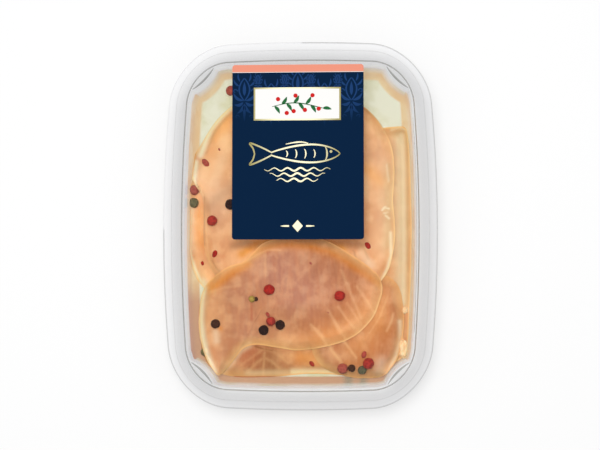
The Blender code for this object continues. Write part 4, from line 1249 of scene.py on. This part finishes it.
against = np.arange(len(oil_rings)) < len(oil_side)
oil_marks = {"against_plastic": np.repeat(against, AROUND_TRAY)}
add_piece("oil", *loft(oil_rings), [oil_finish], "oil", marks=oil_marks, sharp=60)

# %% [markdown]
# ## The label
#
# A dark blue label lies on the film: a coral band along its top, a traditional leaf ornament in a lighter
# blue that fades downwards, a white plate in a gold frame, and gold marks. It could be painted by nodes,
# but shapes with sharp edges come out crisper and stay easier to change as outlines. So each ink is a
# layer of flat shapes, a few hundredths of a millimetre above the one below. The plate carries a sprig
# of leaves and berries, and the gold shapes are a plain fish, waves and a lozenge.

# %% The sheet of the label
LABEL_LOW, LABEL_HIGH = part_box("label")
SHEET_BOTTOM, SHEET_TOP = LABEL_LOW.z - 0.05 * MM, LABEL_LOW.z + 0.06 * MM
LABEL_RADIUS, CORNER_STEPS, SQUARE = 1.3, 6, (0, 0, 0, 0)
left, right, foot, head = (edge / MM for edge in (LABEL_LOW.x, LABEL_HIGH.x, LABEL_LOW.y, LABEL_HIGH.y))
print("label in mm:", round(right - left, 1), "by", round(head - foot, 1))


def rounded_box(x0, y0, x1, y1, radii=SQUARE):
    """A box with a radius for each corner, from the upper right one anticlockwise."""
    corners = ((x1, y1, -1, -1), (x0, y1, 1, -1), (x0, y0, 1, 1), (x1, y0, -1, 1))
    parts = []
    for quarter, ((x, y, inward_x, inward_y), radius) in enumerate(zip(corners, radii)):
        angles = math.pi / 2 * (quarter + np.linspace(0, 1, CORNER_STEPS + 1)) if radius else np.zeros(1)
        parts.append(arc(radius, radius, angles) + (x + inward_x * radius, y + inward_y * radius))
    return np.concatenate(parts)


sheet = rounded_box(left, foot, right, head, [LABEL_RADIUS] * 4) * MM
sheet_points, printed_faces = loft([ring(sheet, SHEET_BOTTOM), ring(sheet, SHEET_TOP)])
printed_points = sheet_points.tolist()
printed_inks = ["paper"] * len(printed_faces)

# %% How a shape or a line is printed
# Each ink with the layer on which it lies
INKS = {"paper": 0, "navy": 1, "damask": 2, "gold": 2, "coral": 3, "plate": 4, "leaf": 5, "berry": 6}
LAYER = 0.012 * MM
print("height of the inks in mm:", round(max(INKS.values()) * LAYER / MM, 3))


def print_shape(ink, outline, layer=None):
    """One flat shape of an ink, from its outline in millimetres."""
    start = len(printed_points)
    height = SHEET_TOP + (INKS[ink] if layer is None else layer) * LAYER
    printed_points.extend(ring(np.asarray(outline) * MM, height).tolist())
    printed_faces.append(list(range(start, len(printed_points))))
    printed_inks.append(ink)


def print_line(ink, path, *widths):
    """A line of an ink, whose width follows widths along it."""
    path = np.array(path, float)
    widths = np.interp(np.linspace(0, 1, len(path)), np.linspace(0, 1, len(widths)), widths)
    ahead = np.gradient(path, axis=0)
    aside = ahead[:, ::-1] * (-1, 1) / np.hypot(*ahead.T)[:, None] * widths[:, None] / 2
    one, other = path + aside, path - aside
    for quad in zip(one, other, other[1:], one[1:]):
        print_shape(ink, quad)


def disc(x, y, radius, corners):
    """A round shape about (x, y)."""
    return arc(radius, radius, np.linspace(0, 2 * math.pi, corners, endpoint=False)) + (x, y)


# %% The two grounds and the plate
BAND, FRAME_LAYER = 66.5, 3
print_shape("navy", rounded_box(left, foot, right, BAND, (0, 0, LABEL_RADIUS, LABEL_RADIUS)))
print_shape("coral", rounded_box(left, BAND, right, head, (LABEL_RADIUS, LABEL_RADIUS, 0, 0)))
print_shape("plate", rounded_box(left, BAND - 0.1, right, BAND + 0.1))
print_shape("gold", rounded_box(-20.0, 45.4, 17.9, 59.8), FRAME_LAYER)
print_shape("plate", rounded_box(-19.3, 46.1, 17.2, 59.1))


# %% Leaves and scrolls for the ornament
LEAF_STEPS, SCROLL_STEPS = 9, 18


def leaf(base, tip, width, bend=0.0):
    """The outline of a leaf from base to tip, bowed sideways by bend."""
    base, tip = np.array(base, float), np.array(tip, float)
    aside = (tip - base)[::-1] * (-1, 1) / np.hypot(*(tip - base))
    share = np.linspace(0, 1, LEAF_STEPS)[:, None]
    spine = base + share * (tip - base) + bend * np.sin(math.pi * share) * aside
    half = width / 2 * np.sin(math.pi * share**0.8) ** 0.9 * aside
    return np.concatenate([spine + half, (spine - half)[-2:0:-1]])


def scroll(x, y, size):
    """A line that curls inwards from its start."""
    share = np.linspace(0, 1, SCROLL_STEPS)
    angle, radius = share * 1.6 * math.pi, size * (1 - 0.75 * share)
    return arc(-radius, radius, angle) + (x + size, y)


# For each leaf its base, its tip, its width and its bend
SIDE_LEAVES = (
    ((0.4, 0), (4.9, 3.6), 1.3, -0.9), ((0.4, -0.6), (4.6, -1.6), 1.4, -0.8),
    ((0.3, -1.6), (3.3, -5.6), 1.3, -0.7), ((2.2, 6.4), (4.8, 9.6), 0.9, -0.5),
    ((1.9, 8.4), (2.7, 12.2), 0.8, -0.4),
)
MIDDLE_LEAVES = (((0, 2.2), (0, 8.4), 1.5), ((0, -1), (0, -9.4), 1.2))
share = np.linspace(0, 1, 14)
OVAL = pairs(2.3 * np.sin(math.pi * share) ** 0.9, 10 * share)


def ornament(x, y, size=1.0):
    """One motif: a pointed oval with a bud, leaves that spread at its foot, scrolls and a hanging tip."""
    for hand in (-size, size):
        print_line("damask", OVAL * (hand, size) + (x, y), 0.5, 0.75, 0.5)
        for side_leaf in SIDE_LEAVES:
            print_shape("damask", leaf(*side_leaf) * (hand, size) + (x, y))
        print_line("damask", scroll(3.0, 4.2, 1.1) * (hand, size) + (x, y), 0.45, 0.3)
        print_line("damask", scroll(2.2, -7.0, 1.0) * (hand, size) + (x, y), 0.4, 0.25)
    for middle_leaf in MIDDLE_LEAVES:
        print_shape("damask", leaf(*middle_leaf) * size + (x, y))


for x, y in ((-24.1, 54.0), (22.5, 54.0), (-0.8, 56.6), (-12.4, 51.6), (10.8, 51.6)):
    ornament(x, y)
for x in (-18.2, 16.6, -6.6, 5.0):
    ornament(x, 61.4, 0.4)

# %% The sprig on the plate
BERRIES = ((-9.4, 54.7), (-5.6, 48.6), (-1.8, 56.2), (2.3, 49.9), (5.6, 56.3), (8.3, 50.4), (-2.6, 49.4))
share = np.linspace(0, 1, 22)
stem = pairs(22 * share - 12, 51.4 + 1.6 * np.sin(math.pi * 1.15 * share))
print_line("leaf", stem, 0.25, 0.5, 0.35)
for number, joint in enumerate((1, 4, 6, 9, 11, 14, 16)):
    hand = 1 if number % 2 else -1
    print_shape("leaf", leaf(stem[joint], stem[joint] + (2.3, hand * 3.4), 1.5, hand * -0.35))
print_shape("leaf", leaf(stem[-1], stem[-1] + (4, -0.6), 1.5, 0.3))
for x, y in BERRIES:
    print_shape("berry", disc(x, y, 0.95, 18))

# %% The gold shapes: a fish, waves, and a lozenge between two rules
FISH = np.array((-2.0, 30.8))
t = np.linspace(0, 1, 40)
TAIL = ((-10.4, 0.7), (-15, 3.0), (-19.6, 4.7), (-18.3, 2.4), (-17.6, 0))
tail = between(np.arange(5), TAIL, np.linspace(0, 4, 30))
for side, fullness in ((1, 4.0), (-1, 3.8)):
    belly = side * fullness * np.sin(math.pi * t**0.8) ** 0.85 * (1 - 0.12 * t) + side * 0.5 * t
    print_line("gold", FISH + pairs(19.5 - 30 * t, belly), 0.5, 0.85, 0.6)
for side in (-1, 1):
    print_line("gold", FISH + tail * (1, side), 0.6, 0.8, 0.6)
print_line("gold", FISH + (12.6, 0) + arc(1.3, 3.1, np.linspace(-1.15, 1.15, 16)), 0.35, 0.8, 0.35)
print_shape("gold", disc(*FISH + (15.6, 0.9), 0.6, 39))
print_line("gold", FISH + pairs(6 - 10 * t, 4.2 + 0.9 * np.sin(math.pi * t**0.7)), 0.3, 0.7, 0.3)
for start, half in ((7.4, 2.1), (3.4, 2.4), (-0.6, 2.2), (-4.6, 1.6)):
    print_line("gold", FISH + (start, 0) + arc(1.3, half, np.linspace(-1, 1, 14)), 0.3, 0.6, 0.3)
s = np.linspace(-1, 1, 60)
for row, (reach, y) in enumerate(((14.3, 24.0), (12.0, 21.7), (9.0, 19.4))):
    print_line("gold", pairs(reach * s - 1, y + 0.65 * np.sin(s * reach * 1.1 + row * 1.6)), 0.25, 0.85, 0.25)
print_shape("gold", [(-3.2, -0.6), (-0.9, -3.2), (1.4, -0.6), (-0.9, 2.0)])
for outer, way in ((-8.2, 3.6), (6.4, -3.6)):
    print_line("gold", pairs(outer + way * t, -0.6), 0.25, 0.7, 0.7)


# %% The inks
def ink(name, base, other, rough=0.5, level=0.02, fade=None):
    """A printed colour with the faint unevenness of a press. fade gives the way from base to other."""
    finish = Finish(name)
    press = finish.cloud(2600, 2.0) - 0.5
    way = fade(finish) if fade else (press + 0.5) * 0.35
    return finish.done({
        "Base Color": finish.mix(way, colour(*base), colour(*other)), "Roughness": rough + press * 0.1,
        "Specular IOR Level": level, "Normal": finish.relief(finish.cloud(3000, 2.0), 0.004 * MM),
    })


def upwards(finish):
    """The ornament's way from navy to its lighter blue."""
    return finish.step(finish.place("Y"), 42 * MM, 57 * MM)


def foil_sheen(finish):
    """Painted sheen of the foil: bright in the middle of the label and dull olive towards its sides."""
    x = finish.place("X")
    return (finish.step(x, -24 * MM, -6 * MM) - finish.step(x, 2 * MM, 20 * MM)).clamped()


label_inks = {
    "paper": ink("label_paper", (236, 236, 232), (226, 226, 222)),
    "navy": ink("navy_ink", (8, 30, 56), (10, 33, 61)),
    "coral": ink("coral_ink", (214, 136, 114), (210, 132, 110)),
    "damask": ink("damask_ink", (10, 33, 61), (27, 56, 100), fade=upwards),
    "gold": ink("gold_ink", (150, 140, 84), (244, 238, 200), rough=0.4, level=0.1, fade=foil_sheen),
    "plate": ink("plate_ink", (224, 223, 221), (218, 217, 215)),
    "leaf": ink("leaf_ink", (34, 92, 52), (48, 110, 62)),
    "berry": ink("berry_ink", (190, 36, 34), (168, 28, 30)),
}
label = add_piece("label_sheet", printed_points, printed_faces, label_inks.values(), "label_print", "label")
label.data.polygons.foreach_set("material_index", [list(label_inks).index(name) for name in printed_inks])
label.data.shade_flat()
print("label:", len(printed_faces), "faces")

# %% [markdown]
# ## Floor, light and camera
#
# The picture looks straight down from above onto a plain pale floor that is lit to pure white, with a
# soft shadow close round the rim. One lamp would give hard glints on so much clear plastic. A pale sky
# lights from everywhere, the floor glows a little as a light table does, so that light also enters the
# tray from below, and one broad soft lamp above the far end lays the label's shadow on the fish.


# %% Floor
def add_to_scene(name, data):
    """An object of the scene that isn't part of the pack."""
    made = bpy.data.objects.new(name, data)
    bpy.context.scene.collection.objects.link(made)
    return made


FLOOR_RADIUS, FLOOR_CORNERS, FLOOR_HEIGHT, FLOOR_GLOW = 1.6, 64, -0.05 * MM, 0.5
floor_finish = Finish("pale_floor")
floor_finish.done({
    "Base Color": floor_finish.mix(floor_finish.cloud(6), colour(168, 168, 168), colour(166, 166, 166)),
    "Roughness": 0.9, "Specular IOR Level": 0.05,
    "Emission Color": WHITE, "Emission Strength": FLOOR_GLOW,
})
floor_mesh = bpy.data.meshes.new("floor")
floor_points = ring(disc(0, 0, FLOOR_RADIUS, FLOOR_CORNERS), FLOOR_HEIGHT).tolist()
floor_mesh.from_pydata(floor_points, [], [list(range(FLOOR_CORNERS))])
floor_mesh.materials.append(floor_finish.material)
floor = add_to_scene("floor", floor_mesh)
print("floor:", 2 * FLOOR_RADIUS, "m wide")

# %% Sky and lamp
SKY, OVERHEAD, LAMP_WATTS, LAMP_SIZE = 0.45, 0.15, 7.8, 0.42
LAMP_PLACE, LAMP_AIM = Vector((-0.03, 0.1, 0.95)), Vector((0, 0, 0.02))
sky = Finish("pale_sky", "worlds")
height = sky.node("SeparateXYZ", {}, {"Vector": sky.node("TexCoord", output="Generated")}, output="Z")
bright = (height.clamped() + 0.5) * SKY
strength = bright - sky.step(height, 0.955, 0.98) * (bright - OVERHEAD)
sky.done(sky.node("Background", {}, {"Color": WHITE, "Strength": strength}), output="OutputWorld")
bpy.context.scene.world = sky.material
bpy.context.scene.view_settings.view_transform = "Standard"
lamp_data = bpy.data.lights.new("soft_lamp", "AREA")
lamp_data.shape, lamp_data.size, lamp_data.energy = "DISK", LAMP_SIZE, LAMP_WATTS
lamp = add_to_scene("soft_lamp", lamp_data)
lamp.location = LAMP_PLACE
lamp.rotation_euler = (LAMP_AIM - LAMP_PLACE).to_track_quat("-Z", "Y").to_euler()
lamp.visible_glossy = lamp.visible_transmission = False
print("lamp:", LAMP_WATTS, "W")

# %% Camera
EYE, AIM, SEEN_WIDTH = Vector((0.031, -0.03545, 0.6205)), Vector((0.00011, -0.00013, 0.0205)), 0.25985
SENSOR = 36
camera_data = bpy.data.cameras.new("camera")
camera_data.sensor_width = SENSOR
camera_data.lens = SENSOR * (EYE - AIM).length / SEEN_WIDTH
camera_data.clip_start = 0.01
camera = add_to_scene("camera", camera_data)
back = (EYE - AIM).normalized()
side = Vector((0, 1, 0)).cross(back).normalized()
camera.matrix_world = Matrix((side, back.cross(side), back)).transposed().to_4x4()
camera.location = EYE
bpy.context.scene.camera = camera
print("lens in mm:", round(camera_data.lens, 1))
